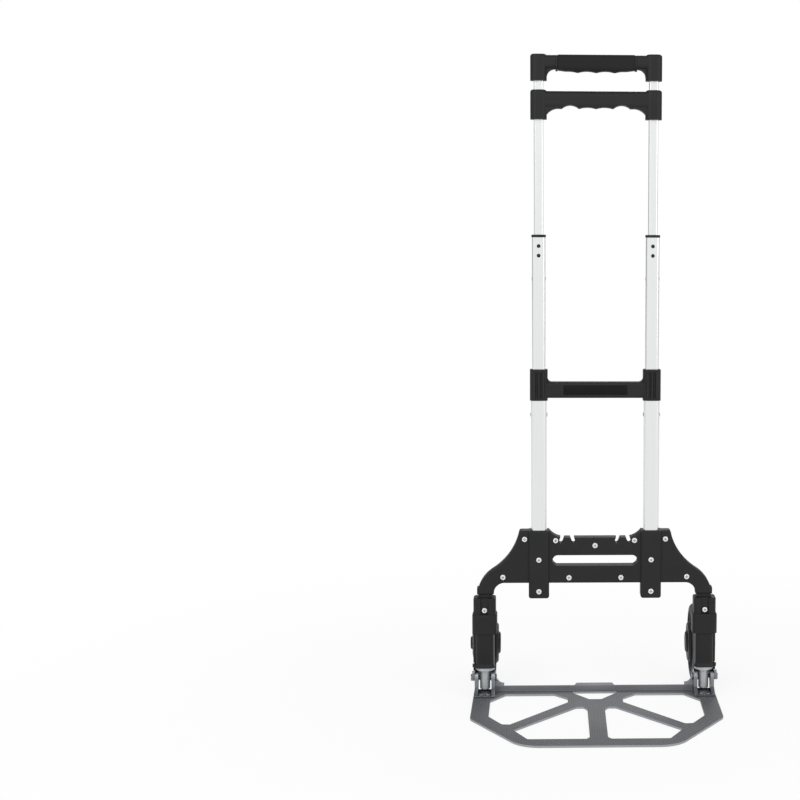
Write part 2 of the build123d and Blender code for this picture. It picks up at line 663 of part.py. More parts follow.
with BuildPart() as fold_spring:
    with BuildSketch(Plane.XY.offset(BRACKET_TOP - SPRING_POCKET_DEPTH)):
        with Locations((-POST_X, 0)):
            Circle(SPRING_POCKET_RADIUS - SLIDE)
            Circle(SPRING_POCKET_RADIUS - SLIDE - SPRING_WALL, mode=Mode.SUBTRACT)
    extrude(amount=SPRING_POCKET_DEPTH - SLIDE)
save_pair(fold_spring, "fold_spring")

# Wheels: tyre, hub with a domed inner disc, bush, axle bolt, nut and hub cap
WHEEL_CENTRE = (-POST_X, AXLE_BACK, WHEEL_RADIUS)
AXLE_AXIS = Axis(WHEEL_CENTRE, (1, 0, 0))
AXLE_PLANE = Plane(WHEEL_CENTRE, x_dir=(1, 0, 0), z_dir=(0, -1, 0))
WHEEL_PLANE = Plane(WHEEL_CENTRE, x_dir=(0, 1, 0), z_dir=(1, 0, 0))
tyre_seat = WHEEL_RADIUS - TYRE_HEIGHT
bush_radius = AXLE_RADIUS + RUN + BUSH_WALL
hub_outward = ARM_INNER_FACE - SLIDE
nut_seat = HUB_INWARD - CAP_THICKNESS - NUT_LENGTH - AXLE_STUB

with BuildPart() as tyre:
    with BuildSketch(AXLE_PLANE) as section:
        with Locations((0, tyre_seat + TYRE_HEIGHT / 2)):
            Rectangle(2 * TYRE_HALF_WIDTH, TYRE_HEIGHT)
        fillet(section.vertices().group_by(Axis.Y)[-1], TYRE_SHOULDER)
        with Locations((0, WHEEL_RADIUS)):
            with GridLocations(TREAD_GROOVE_PITCH, 0, TREAD_GROOVES, 1):
                Rectangle(TREAD_GROOVE_WIDTH, 2 * TREAD_GROOVE_DEPTH, mode=Mode.SUBTRACT)
    revolve(axis=AXLE_AXIS)
save_pair(tyre, "tyre")

with BuildPart() as wheel_hub:
    with BuildSketch(AXLE_PLANE):
        with BuildLine():
            Polyline(
                (-hub_outward, bush_radius + FIT),
                (-hub_outward, HUB_NECK_RADIUS),
                (-OUTER_WEB, HUB_NECK_RADIUS + DISC_STEP),
                (-OUTER_WEB, tyre_seat - RIM_DEPTH),
                (-RIM_HALF_WIDTH, tyre_seat - RIM_SEAT),
                (-RIM_HALF_WIDTH, tyre_seat - FIT),
                (RIM_HALF_WIDTH, tyre_seat - FIT),
                (RIM_HALF_WIDTH, tyre_seat - RIM_SEAT),
                (RIM_WEB, tyre_seat - RIM_DEPTH),
                (RIM_WEB, DISC_RADIUS),
                (DISC_INWARD - DISC_STEP, DISC_RADIUS),
                (DISC_INWARD, DISC_RADIUS - DISC_STEP),
                (DISC_INWARD, HUB_RADIUS),
                (HUB_INWARD - HUB_ROUND, HUB_RADIUS),
                (HUB_INWARD, HUB_RADIUS - HUB_ROUND),
                (HUB_INWARD, CAP_RADIUS + FIT),
                (HUB_INWARD - CAP_THICKNESS, CAP_RADIUS + FIT),
                (HUB_INWARD - CAP_THICKNESS, NUT_RADIUS + NUT_ROOM),
                (nut_seat - SLIDE, NUT_RADIUS + NUT_ROOM),
                (nut_seat - SLIDE, bush_radius + FIT),
                close=True,
            )
        make_face()
    revolve(axis=AXLE_AXIS)
    with BuildSketch(WHEEL_PLANE.offset(-OUTER_WEB)):
        spoke_length = tyre_seat - RIM_SEAT - HUB_NECK_RADIUS
        with PolarLocations(HUB_NECK_RADIUS + spoke_length / 2, SPOKES):
            Rectangle(spoke_length, SPOKE_WIDTH)
    extrude(amount=-SPOKE_HEIGHT)
save_pair(wheel_hub, "wheel_hub")

with BuildPart() as wheel_bush:
    with BuildSketch(AXLE_PLANE):
        with BuildLine():
            Polyline(
                (-hub_outward, AXLE_RADIUS + RUN),
                (nut_seat - SLIDE, AXLE_RADIUS + RUN),
                (nut_seat - SLIDE, bush_radius),
                (-hub_outward, bush_radius),
                close=True,
            )
        make_face()
    revolve(axis=AXLE_AXIS)
save_pair(wheel_bush, "wheel_bush")

with BuildPart() as axle_bolt:
    with BuildSketch(AXLE_PLANE):
        with BuildLine():
            Polyline(
                (-ARM_OUTER_FACE - AXLE_HEAD_LENGTH, 0),
                (-ARM_OUTER_FACE - AXLE_HEAD_LENGTH, AXLE_HEAD_RADIUS - AXLE_HEAD_LENGTH / 2),
                (-ARM_OUTER_FACE - AXLE_HEAD_LENGTH / 2, AXLE_HEAD_RADIUS),
                (-ARM_OUTER_FACE, AXLE_HEAD_RADIUS),
                (-ARM_OUTER_FACE, AXLE_RADIUS),
                (nut_seat + NUT_LENGTH + AXLE_STUB / 2, AXLE_RADIUS),
                (nut_seat + NUT_LENGTH + AXLE_STUB / 2, 0),
                close=True,
            )
        make_face()
    revolve(axis=AXLE_AXIS)
save_pair(axle_bolt, "axle_bolt")

with BuildPart() as axle_nut:
    with BuildSketch(WHEEL_PLANE.offset(nut_seat)):
        RegularPolygon(NUT_RADIUS, NUT_SIDES)
        Circle(AXLE_RADIUS + FIT, mode=Mode.SUBTRACT)
    extrude(amount=NUT_LENGTH)
save_pair(axle_nut, "axle_nut")

with BuildPart() as hub_cap:
    with BuildSketch(AXLE_PLANE):
        with BuildLine():
            Polyline(
                (HUB_INWARD - CAP_THICKNESS, 0),
                (HUB_INWARD - CAP_THICKNESS, CAP_RADIUS),
                (HUB_INWARD - CAP_STEP / 2, CAP_RADIUS),
                (HUB_INWARD, CAP_RADIUS - CAP_STEP),
                (HUB_INWARD, 0),
                close=True,
            )
        make_face()
    revolve(axis=AXLE_AXIS)
save_pair(hub_cap, "hub_cap")

# Chassis: front and rear shells round the lower tubes, with a slot, cord notches and screw bosses
ARM_OUTER_X = POST_X + ARM_OUTER
ARM_INNER_X = POST_X - ARM_INNER
TOP_CORNER = (TUBE_X + CHASSIS_TOP_OUTWARD, CHASSIS_TOP)
SHOULDER = (POST_X - SHOULDER_INWARD, CHASSIS_LOWER_EDGE + SHOULDER_RISE)
ARM_BEND = (POST_X - ARM_BEND_INWARD, CHASSIS_LOWER_EDGE + ARM_BEND_RISE)
CROOK_END = (ARM_INNER_X - ARM_CROOK, CHASSIS_LOWER_EDGE)
SAG_X = TUBE_X - BARREL_WIDTH / 2
SAG_Z = CHASSIS_TOP - CHASSIS_SAG
notch_places = [
    Location((side * x, SAG_Z), side * lean)
    for side in (-1, 1)
    for x, lean in ((NOTCH_INNER, -NOTCH_LEAN), (NOTCH_OUTER, NOTCH_LEAN))
]
with BuildSketch(Plane.XZ) as chassis_outline:
    with BuildLine():
        shoulder = ThreePointArc(TOP_CORNER, SHOULDER, ARM_BEND)
        TangentArc(ARM_BEND, (ARM_OUTER_X, SHANK_TOP), tangent=shoulder % 1)
        Line((ARM_OUTER_X, SHANK_TOP), (ARM_INNER_X, SHANK_TOP))
        corner_arc((ARM_INNER_X, SHANK_TOP), CROOK_END)
        Line(CROOK_END, (0, CHASSIS_LOWER_EDGE))
        Line(TOP_CORNER, (SAG_X, CHASSIS_TOP))
        RadiusArc((SAG_X, CHASSIS_TOP), (SAG_X - SAG_RUN, SAG_Z), SAG_RADIUS)
        Line((SAG_X - SAG_RUN, SAG_Z), (0, SAG_Z))
        mirror(about=Plane.YZ)
    make_face()
    tops = chassis_outline.vertices().group_by(Axis.Y)[-1].sort_by(Axis.X)
    fillet((tops[0], tops[-1]), CHASSIS_TOP_CORNER)
    with Locations(*notch_places):
        SlotOverall(2 * NOTCH_DEPTH, NOTCH_WIDTH, rotation=90, mode=Mode.SUBTRACT)
with BuildSketch(Plane.XZ) as chassis_cavity:
    add(chassis_outline.sketch)
    offset(amount=-CHASSIS_WALL, mode=Mode.REPLACE)

shell_screw_places = sorted(
    {(side * x, CHASSIS_LOWER_EDGE + rise) for x, rise in SHELL_SCREWS for side in (-1, 1)}
)
screw_reach = SCREW_LENGTH - CHASSIS_HALF_DEPTH
cavity_depth = CHASSIS_HALF_DEPTH - CHASSIS_WALL


def barrels(facing):
    """The raised halves of the two barrels that clasp the lower tubes."""
    with BuildPart() as pair:
        with BuildSketch(Plane.XZ) as fronts:
            with Locations((-TUBE_X, BARREL_BOTTOM), (TUBE_X, BARREL_BOTTOM)):
                Rectangle(BARREL_WIDTH, CHASSIS_TOP - BARREL_BOTTOM, align=(Align.CENTER, Align.MIN))
            fillet(fronts.vertices().group_by(Axis.Y)[0], BARREL_CORNER)
        extrude(amount=facing * BARREL_HALF_DEPTH)
        outside = pair.faces().filter_by(Axis.Y).group_by(Axis.Y)[0 if facing > 0 else -1]
        fillet(outside.edges(), BARREL_EDGE)
    return pair.part


def chassis_shell(facing):
    """Half of the chassis. facing is 1 for the front shell and -1 for the rear shell."""
    raised = barrels(facing)
    with BuildPart() as shell:
        extrude(chassis_outline.sketch, amount=facing * CHASSIS_HALF_DEPTH)
        outside = shell.faces().filter_by(Axis.Y).sort_by(Axis.Y)[0 if facing > 0 else -1]
        fillet(outside.edges(), CHASSIS_EDGE)
        extrude(chassis_cavity.sketch, amount=facing * cavity_depth, mode=Mode.SUBTRACT)
        with BuildSketch(Plane.XZ):
            with Locations(*shell_screw_places):
                Circle(BOSS_RADIUS)
            with Locations((0, SLOT_CENTRE)):
                SlotOverall(SLOT_LENGTH + 2 * CHASSIS_WALL, SLOT_HEIGHT + 2 * CHASSIS_WALL)
            with Locations((-POST_X, SHANK_TOP), (POST_X, SHANK_TOP)):
                Rectangle(2 * ARM_OUTER, POST_INTO_ARM + FIT, align=(Align.CENTER, Align.MIN))
        extrude(amount=facing * (CHASSIS_HALF_DEPTH - CHASSIS_WALL / 2))
        add(raised)
        with BuildSketch(Plane.XZ):
            with Locations((0, SLOT_CENTRE)):
                SlotOverall(SLOT_LENGTH, SLOT_HEIGHT)
        extrude(amount=facing * CHASSIS_HALF_DEPTH, mode=Mode.SUBTRACT)
        with BuildSketch(Plane.XY.offset(BARREL_BOTTOM)):
            with Locations((-TUBE_X, 0), (TUBE_X, 0)):
                RectangleRounded(LOWER_WIDTH + 2 * FIT, LOWER_DEPTH + 2 * FIT, LOWER_CORNER + FIT)
        extrude(amount=CHASSIS_TOP - BARREL_BOTTOM, mode=Mode.SUBTRACT)
        with BuildSketch(Plane.XY.offset(SHANK_TOP)):
            with Locations((-POST_X, 0), (POST_X, 0)):
                Circle(POST_RADIUS + FIT)
        extrude(amount=POST_INTO_ARM + FIT, mode=Mode.SUBTRACT)
        hole_depth = CHASSIS_HALF_DEPTH if facing > 0 else screw_reach
        for x, z in shell_screw_places:
            wall_hole(x, 0, z, SCREW_RADIUS + FIT, 2 * hole_depth)
        if facing > 0:
            for x in (-TUBE_X, TUBE_X):
                for z in BARREL_SCREW_HEIGHTS:
                    wall_hole(x, -BARREL_HALF_DEPTH, z, SCREW_RADIUS + FIT, LOWER_DEPTH)
    return shell


save(chassis_shell(1), "chassis_front_shell")
save(chassis_shell(-1), "chassis_rear_shell")

shell_screws = screws(
    [(x, -CHASSIS_HALF_DEPTH, z) for x, z in shell_screw_places],
    SCREW_LENGTH,
    HEADS_FRONT,
)
save(shell_screws, "chassis_screws")

tube_screws = screws(
    [(x, -BARREL_HALF_DEPTH, z) for x in (-TUBE_X, TUBE_X) for z in BARREL_SCREW_HEIGHTS],
    BARREL_HALF_DEPTH - LOWER_DEPTH / 2 + LOWER_WALL,
    HEADS_FRONT,
)
save(tube_screws, "tube_screws")

# Lower tubes and the caps that close them
lower_size = (LOWER_WIDTH, LOWER_DEPTH, LOWER_CORNER, LOWER_WALL)
lower_tube = square_tube(-TUBE_X, LOWER_BOTTOM, LOWER_LENGTH, *lower_size)
with lower_tube:
    cross_hole(-TUBE_X, LOWER_SNAP_Z, SNAP_RADIUS + SLIDE, 2 * LOWER_WIDTH)
    for z in BARREL_SCREW_HEIGHTS:
        wall_hole(-TUBE_X, -LOWER_DEPTH / 2, z, SCREW_RADIUS + FIT, LOWER_DEPTH / 2)
    wall_hole(-TUBE_X, LOWER_DEPTH / 2, CROSSBAR_SCREW_Z, SCREW_RADIUS + FIT, LOWER_DEPTH / 2)
save_pair(lower_tube, "lower_tube")

with BuildPart() as end_cap:
    with BuildSketch(Plane.XY.offset(BARREL_BOTTOM)):
        with Locations((-TUBE_X, 0)):
            RectangleRounded(LOWER_WIDTH, LOWER_DEPTH, LOWER_CORNER)
    extrude(amount=END_CAP_HEIGHT)
    with BuildSketch(Plane.XY.offset(LOWER_BOTTOM)):
        with Locations((-TUBE_X, 0)):
            RectangleRounded(
                LOWER_WIDTH - 2 * (LOWER_WALL + FIT),
                LOWER_DEPTH - 2 * (LOWER_WALL + FIT),
                LOWER_CORNER - LOWER_WALL - FIT,
            )
    extrude(amount=END_CAP_SPIGOT)
    wall_hole(-TUBE_X, -LOWER_DEPTH / 2, BARREL_SCREW_HEIGHTS[0], SCREW_RADIUS + FIT, LOWER_DEPTH / 2)
save_pair(end_cap, "tube_end_cap")

# Middle crossbar: ribbed sockets on the tops of the lower tubes, and a bare recess for a label
with BuildPart() as crossbar:
    with BuildSketch(Plane.XY.offset(SOCKET_BOTTOM)):
        with Locations((-TUBE_X, 0), (TUBE_X, 0)):
            RectangleRounded(SOCKET_WIDTH, SOCKET_DEPTH, SOCKET_CORNER)
    extrude(amount=SOCKET_HEIGHT)
    fillet(crossbar.edges().group_by(Axis.Z)[-1], SOCKET_EDGE)
    bar_bottom = SOCKET_BOTTOM + BAR_ABOVE_SOCKET_FOOT
    bar_top = bar_bottom + BAR_HEIGHT
    with BuildSketch(Plane.YZ):
        with Locations((0, (bar_bottom + bar_top) / 2)):
            RectangleRounded(BAR_DEPTH, BAR_HEIGHT, BAR_EDGE)
    extrude(amount=TUBE_X, both=True)
    socket_face = TUBE_X - SOCKET_WIDTH / 2
    with BuildSketch(Plane.XZ):
        with BuildLine():
            corner_arc((socket_face, bar_top + BAR_WEB), (socket_face - BAR_WEB, bar_top))
            Polyline(
                (socket_face - BAR_WEB, bar_top),
                (socket_face - BAR_WEB, bar_top - BAR_EDGE),
                (TUBE_X, bar_top - BAR_EDGE),
                (TUBE_X, bar_top + BAR_WEB),
                (socket_face, bar_top + BAR_WEB),
            )
        make_face()
        mirror(about=Plane.YZ)
    extrude(amount=BAR_DEPTH / 2 - BAR_EDGE / 2, both=True)
    with BuildSketch(Plane.XY.offset(SOCKET_BOTTOM + RIB_MARGIN)):
        with Locations((-TUBE_X, -SOCKET_DEPTH / 2), (TUBE_X, -SOCKET_DEPTH / 2)):
            with GridLocations(RIB_PITCH, 0, RIBS, 1):
                Circle(RIB_RADIUS)
    extrude(amount=SOCKET_HEIGHT - 2 * RIB_MARGIN)
    with BuildSketch(Plane.XY.offset(SOCKET_BOTTOM)):
        with Locations((-TUBE_X, 0), (TUBE_X, 0)):
            RectangleRounded(LOWER_WIDTH + 2 * FIT, LOWER_DEPTH + 2 * FIT, LOWER_CORNER + FIT)
    extrude(amount=LOWER_TOP - SOCKET_BOTTOM, mode=Mode.SUBTRACT)
    with BuildSketch(Plane.XY.offset(LOWER_TOP)):
        with Locations((-TUBE_X, 0), (TUBE_X, 0)):
            RectangleRounded(MIDDLE_WIDTH + 2 * SLIDE, MIDDLE_DEPTH + 2 * SLIDE, MIDDLE_CORNER + SLIDE)
    extrude(amount=SOCKET_LIP, mode=Mode.SUBTRACT)
    with Locations((0, -BAR_DEPTH / 2, (bar_bottom + bar_top) / 2)):
        Box(LABEL_LENGTH, 2 * LABEL_RECESS, LABEL_HEIGHT, mode=Mode.SUBTRACT)
    for x in (-TUBE_X, TUBE_X):
        wall_hole(x, SOCKET_DEPTH / 2, CROSSBAR_SCREW_Z, SCREW_RADIUS + FIT, LOWER_DEPTH / 2)
save(crossbar, "crossbar")

crossbar_screws = screws(
    [(x, SOCKET_DEPTH / 2, CROSSBAR_SCREW_Z) for x in (-TUBE_X, TUBE_X)],
    SOCKET_DEPTH / 2 - LOWER_DEPTH / 2 + LOWER_WALL,
    HEADS_REAR,
)
save(crossbar_screws, "crossbar_screws")


def tube_bore(width, depth, corner, wall):
    """Width, depth and corner radius of the bore of a tube."""
    return width - 2 * wall, depth - 2 * wall, corner - wall


def slide_plug(bottom, bore_width, bore_depth, bore_corner, width, depth, corner, wall):
    """Plug in a sliding tube's lower end: a flange that runs in the outer tube's bore, and a spigot."""
    with BuildPart() as plug:
        with BuildSketch(Plane.XY.offset(bottom)):
            with Locations((-TUBE_X, 0)):
                RectangleRounded(bore_width - 2 * SLIDE, bore_depth - 2 * SLIDE, bore_corner - SLIDE)
        extrude(amount=-PLUG_FLANGE)
        with BuildSketch(Plane.XY.offset(bottom)):
            with Locations((-TUBE_X, 0)):
                RectangleRounded(width - 2 * (wall + FIT), depth - 2 * (wall + FIT), corner - wall - FIT)
        extrude(amount=PLUG_SPIGOT)
    return plug


def snap_spring(z, bore_width, outer_width):
    """Sprung strip bent to a V in a sliding tube, with two buttons that lock it to the outer tube."""
    half = bore_width / 2 - SLIDE
    top = z + SNAP_LEG_ABOVE
    bend = z - SNAP_LEG_BELOW
    reach = outer_width / 2 + SNAP_PROUD
    with BuildPart() as spring:
        with BuildSketch(Plane.XZ):
            with BuildLine():
                Polyline(
                    (-TUBE_X, bend),
                    (-TUBE_X + half, top),
                    (-TUBE_X + half - SNAP_STRIP, top),
                    (-TUBE_X, bend + SNAP_STRIP * (top - bend) / half),
                    (-TUBE_X - half + SNAP_STRIP, top),
                    (-TUBE_X - half, top),
                    close=True,
                )
            make_face()
        extrude(amount=SNAP_STRIP_WIDTH / 2, both=True)
        inner = half * SNAP_LEG_BELOW / (SNAP_LEG_ABOVE + SNAP_LEG_BELOW) - SNAP_STRIP
        with Locations((-TUBE_X, 0, z)):
            for side in (-1, 1):
                with Locations((side * (reach + inner) / 2, 0, 0)):
                    Cylinder(SNAP_RADIUS, reach - inner, rotation=(0, 90, 0))
        rims = spring.edges().filter_by(GeomType.CIRCLE).sort_by(Axis.X)
        fillet((rims[0], rims[-1]), SNAP_ROUND)
    return spring


# Middle tubes, with the collar riveted into each top
middle_size = (MIDDLE_WIDTH, MIDDLE_DEPTH, MIDDLE_CORNER, MIDDLE_WALL)
upper_size = (UPPER_WIDTH, UPPER_DEPTH, UPPER_CORNER, UPPER_WALL)
middle_bore = tube_bore(*lower_size)
upper_bore = tube_bore(*middle_size)
rivet_heights = [MIDDLE_TOP - drop for drop in COLLAR_RIVET_DROPS]

middle_tube = square_tube(-TUBE_X, MIDDLE_BOTTOM, MIDDLE_TOP - MIDDLE_BOTTOM, *middle_size)
with middle_tube:
    cross_hole(-TUBE_X, LOWER_SNAP_Z, SNAP_RADIUS + SLIDE, 2 * MIDDLE_WIDTH)
    cross_hole(-TUBE_X, MIDDLE_SNAP_Z, SNAP_RADIUS + SLIDE, 2 * MIDDLE_WIDTH)
    for z in rivet_heights:
        wall_hole(-TUBE_X, -MIDDLE_DEPTH / 2, z, COLLAR_RIVET_RADIUS + FIT, 2 * COLLAR_RIVET_SINK)
        wall_hole(-TUBE_X, -MIDDLE_DEPTH / 2, z, COLLAR_RIVET_SHANK + FIT, MIDDLE_DEPTH / 2)
save_pair(middle_tube, "middle_tube")

with BuildPart() as tube_collar:
    with BuildSketch(Plane.XY.offset(MIDDLE_TOP)):
        with Locations((-TUBE_X, 0)):
            RectangleRounded(
                MIDDLE_WIDTH + 2 * COLLAR_RING_LIP,
                MIDDLE_DEPTH + 2 * COLLAR_RING_LIP,
                MIDDLE_CORNER + COLLAR_RING_LIP,
            )
    extrude(amount=COLLAR_RING_HEIGHT)
    fillet(tube_collar.edges().group_by(Axis.Z)[-1], COLLAR_RING_LIP)
    with BuildSketch(Plane.XY.offset(MIDDLE_TOP)):
        with Locations((-TUBE_X, 0)):
            RectangleRounded(upper_bore[0] - 2 * FIT, upper_bore[1] - 2 * FIT, upper_bore[2] - FIT)
    extrude(amount=-COLLAR_SLEEVE)
    with BuildSketch(Plane.XY.offset(MIDDLE_TOP - COLLAR_SLEEVE)):
        with Locations((-TUBE_X, 0)):
            RectangleRounded(UPPER_WIDTH + 2 * SLIDE, UPPER_DEPTH + 2 * SLIDE, UPPER_CORNER + SLIDE)
    extrude(amount=COLLAR_SLEEVE + COLLAR_RING_HEIGHT, mode=Mode.SUBTRACT)
    for z in rivet_heights:
        wall_hole(-TUBE_X, -MIDDLE_DEPTH / 2, z, COLLAR_RIVET_SHANK + FIT, MIDDLE_DEPTH / 2)
save_pair(tube_collar, "tube_collar")

with BuildPart() as collar_rivets:
    shank = MIDDLE_WALL + UPPER_GAP - SLIDE
    for z in rivet_heights:
        with Locations(Location((-TUBE_X, -MIDDLE_DEPTH / 2, z), (HEADS_FRONT, 0, 0))):
            for radius, length in ((COLLAR_RIVET_RADIUS, COLLAR_RIVET_SINK), (COLLAR_RIVET_SHANK, shank)):
                Cylinder(radius, length, align=(Align.CENTER, Align.CENTER, Align.MAX))
save_pair(collar_rivets, "collar_rivets")

save_pair(slide_plug(MIDDLE_BOTTOM, *middle_bore, *middle_size), "middle_slide_plug")
save_pair(snap_spring(LOWER_SNAP_Z, upper_bore[0], LOWER_WIDTH), "middle_snap_spring")

# Upper tubes
upper_tube = square_tube(-TUBE_X, UPPER_BOTTOM, UPPER_TOP - UPPER_BOTTOM, *upper_size)
with upper_tube:
    cross_hole(-TUBE_X, MIDDLE_SNAP_Z, SNAP_RADIUS + SLIDE, 2 * UPPER_WIDTH)
    for z in (LOWER_GRIP_SCREW_Z, TOP_GRIP_SCREW_Z):
        wall_hole(-TUBE_X, UPPER_DEPTH / 2, z, SCREW_RADIUS + FIT, UPPER_DEPTH / 2)
save_pair(upper_tube, "upper_tube")

save_pair(slide_plug(UPPER_BOTTOM, *upper_bore, *upper_size), "upper_slide_plug")
save_pair(snap_spring(MIDDLE_SNAP_Z, UPPER_WIDTH - 2 * UPPER_WALL, MIDDLE_WIDTH), "upper_snap_spring")


def groove_radius(pitch, depth):
    """Radius of the round finger groove that is one pitch wide and so deep."""
    return (pitch / 2) ** 2 / (2 * depth) + depth / 2


def grip_sockets(bottom, height):
    """The two rounded sockets of a grip, closed and not yet bored for the tubes."""
    with BuildPart() as pair:
        with BuildSketch(Plane.XY.offset(bottom)):
            with Locations((-TUBE_X, 0), (TUBE_X, 0)):
                RectangleRounded(GRIP_SOCKET_WIDTH, GRIP_SOCKET_DEPTH, GRIP_SOCKET_CORNER)
        extrude(amount=height)
        fillet(pair.edges().group_by(Axis.Z)[-1], GRIP_EDGE)
    return pair.part


def bore_grip(bottom, top, screw_z):
    """Cut the grip being made for the upper tubes and for its screws."""
    with BuildSketch(Plane.XY.offset(bottom)) as bores:
        with Locations((-TUBE_X, 0), (TUBE_X, 0)):
            RectangleRounded(UPPER_WIDTH + 2 * FIT, UPPER_DEPTH + 2 * FIT, UPPER_CORNER + FIT)
    extrude(bores.sketch, amount=top - bottom, mode=Mode.SUBTRACT)
    for x in (-TUBE_X, TUBE_X):
        wall_hole(x, GRIP_SOCKET_DEPTH / 2, screw_z, SCREW_RADIUS + FIT, GRIP_SOCKET_DEPTH)


# Top grip, with a soft sleeve that has finger grooves below
handle_top = TOP_GRIP_TOP - HANDLE_TOP_DROP
handle_centre = handle_top - HANDLE_HEIGHT / 2
grip_face = TUBE_X - GRIP_SOCKET_WIDTH / 2
top_sockets = grip_sockets(TOP_GRIP_Z, TOP_GRIP_SOCKET)
with BuildPart() as top_grip:
    add(top_sockets)
    with BuildSketch(Plane.YZ):
        with Locations((0, handle_centre)):
            RectangleRounded(HANDLE_DEPTH, HANDLE_HEIGHT, HANDLE_ROUND)
    extrude(amount=TUBE_X, both=True)
    web_foot = handle_top - HANDLE_HEIGHT - HANDLE_WEB
    with BuildSketch(Plane.XZ):
        with BuildLine():
            corner_arc((grip_face, web_foot), (grip_face - HANDLE_WEB, web_foot + HANDLE_WEB))
            Polyline(
                (grip_face - HANDLE_WEB, web_foot + HANDLE_WEB),
                (grip_face - HANDLE_WEB, handle_centre),
                (TUBE_X, handle_centre),
                (TUBE_X, web_foot),
                (grip_face, web_foot),
            )
        make_face()
        mirror(about=Plane.YZ)
    extrude(amount=HANDLE_DEPTH / 2 - GRIP_EDGE, both=True)
    bore_grip(TOP_GRIP_Z, UPPER_TOP, TOP_GRIP_SCREW_Z)
save(top_grip, "top_grip")

sleeve_height = HANDLE_HEIGHT + SLEEVE_TOP + SLEEVE_BOTTOM
sleeve_bottom = handle_top - HANDLE_HEIGHT - SLEEVE_BOTTOM
sleeve_centre = sleeve_bottom + sleeve_height / 2
finger_radius = groove_radius(FINGER_PITCH, FINGER_DEPTH)
with BuildPart() as grip_sleeve:
    with BuildSketch(Plane.YZ):
        with Locations((0, sleeve_centre)):
            RectangleRounded(HANDLE_DEPTH + 2 * SLEEVE_SIDE, sleeve_height, HANDLE_ROUND + SLEEVE_SIDE)
    extrude(amount=SLEEVE_LENGTH / 2, both=True)
    with Locations((0, 0, sleeve_bottom + FINGER_DEPTH - finger_radius)):
        with GridLocations(FINGER_PITCH, 0, FINGER_GROOVES, 1):
            Cylinder(finger_radius, 2 * HANDLE_DEPTH, rotation=(90, 0, 0), mode=Mode.SUBTRACT)
    with BuildSketch(Plane.XZ):
        with BuildLine():
            Polyline(
                (FINGER_PITCH, sleeve_bottom),
                (SLEEVE_LENGTH / 2, sleeve_bottom),
                (SLEEVE_LENGTH / 2, sleeve_bottom + SLEEVE_BOTTOM - SLEEVE_END_DEPTH),
                close=True,
            )
        make_face()
        mirror(about=Plane.YZ)
    extrude(amount=HANDLE_DEPTH, both=True, mode=Mode.SUBTRACT)
    with BuildSketch(Plane.YZ):
        with Locations((0, handle_centre)):
            RectangleRounded(HANDLE_DEPTH + 2 * FIT, HANDLE_HEIGHT + 2 * FIT, HANDLE_ROUND + FIT)
    extrude(amount=SLEEVE_LENGTH, both=True, mode=Mode.SUBTRACT)
save(grip_sleeve, "top_grip_sleeve")

# Lower grip: the bar hangs finger grooves below it and runs into the sockets with curved webs
lower_bar_top = LOWER_GRIP_TOP - LOWER_BAR_TOP_DROP
lower_bar_bottom = lower_bar_top - LOWER_BAR_HEIGHT
lower_web_foot = lower_bar_bottom - LOWER_WEB_DROP
lower_sockets = grip_sockets(LOWER_GRIP_Z, LOWER_GRIP_SOCKET)
lower_grooves_end = LOWER_FINGER_PITCH * len(LOWER_FINGERS) / 2
with BuildPart() as lower_grip:
    add(lower_sockets)
    with BuildSketch(Plane.YZ):
        with Locations((0, (lower_bar_top + lower_bar_bottom) / 2)):
            RectangleRounded(HANDLE_DEPTH, LOWER_BAR_HEIGHT, HANDLE_ROUND)
    extrude(amount=TUBE_X, both=True)
    with BuildSketch(Plane.XZ):
        with BuildLine():
            corner_arc((grip_face, lower_web_foot), (lower_grooves_end, lower_bar_bottom))
            Polyline(
                (lower_grooves_end, lower_bar_bottom),
                (lower_grooves_end, lower_bar_bottom + HANDLE_ROUND),
                (TUBE_X, lower_bar_bottom + HANDLE_ROUND),
                (TUBE_X, lower_web_foot),
                (grip_face, lower_web_foot),
            )
        make_face()
        mirror(about=Plane.YZ)
    extrude(amount=HANDLE_DEPTH / 2 - GRIP_EDGE / 2, both=True)
    for pitches, depth in LOWER_FINGERS:
        radius = groove_radius(LOWER_FINGER_PITCH, depth)
        with Locations((pitches * LOWER_FINGER_PITCH, 0, lower_bar_bottom + depth - radius)):
            Cylinder(radius, 2 * HANDLE_DEPTH, rotation=(90, 0, 0), mode=Mode.SUBTRACT)
    bore_grip(LOWER_GRIP_Z, LOWER_GRIP_TOP, LOWER_GRIP_SCREW_Z)
save(lower_grip, "lower_grip")

grip_screw_places = [
    (x, GRIP_SOCKET_DEPTH / 2, z)
    for x in (-TUBE_X, TUBE_X)
    for z in (LOWER_GRIP_SCREW_Z, TOP_GRIP_SCREW_Z)
]
grip_screw_length = (GRIP_SOCKET_DEPTH - UPPER_DEPTH) / 2 + UPPER_WALL
grip_screws = screws(grip_screw_places, grip_screw_length, HEADS_REAR)
save(grip_screws, "grip_screws")
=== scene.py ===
"""Looks of a folding hand truck: finishes, small trim, light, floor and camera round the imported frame."""
import logging
import math
from dataclasses import dataclass, field
from enum import Enum

import bmesh
import bpy
from mathutils import Matrix, Vector


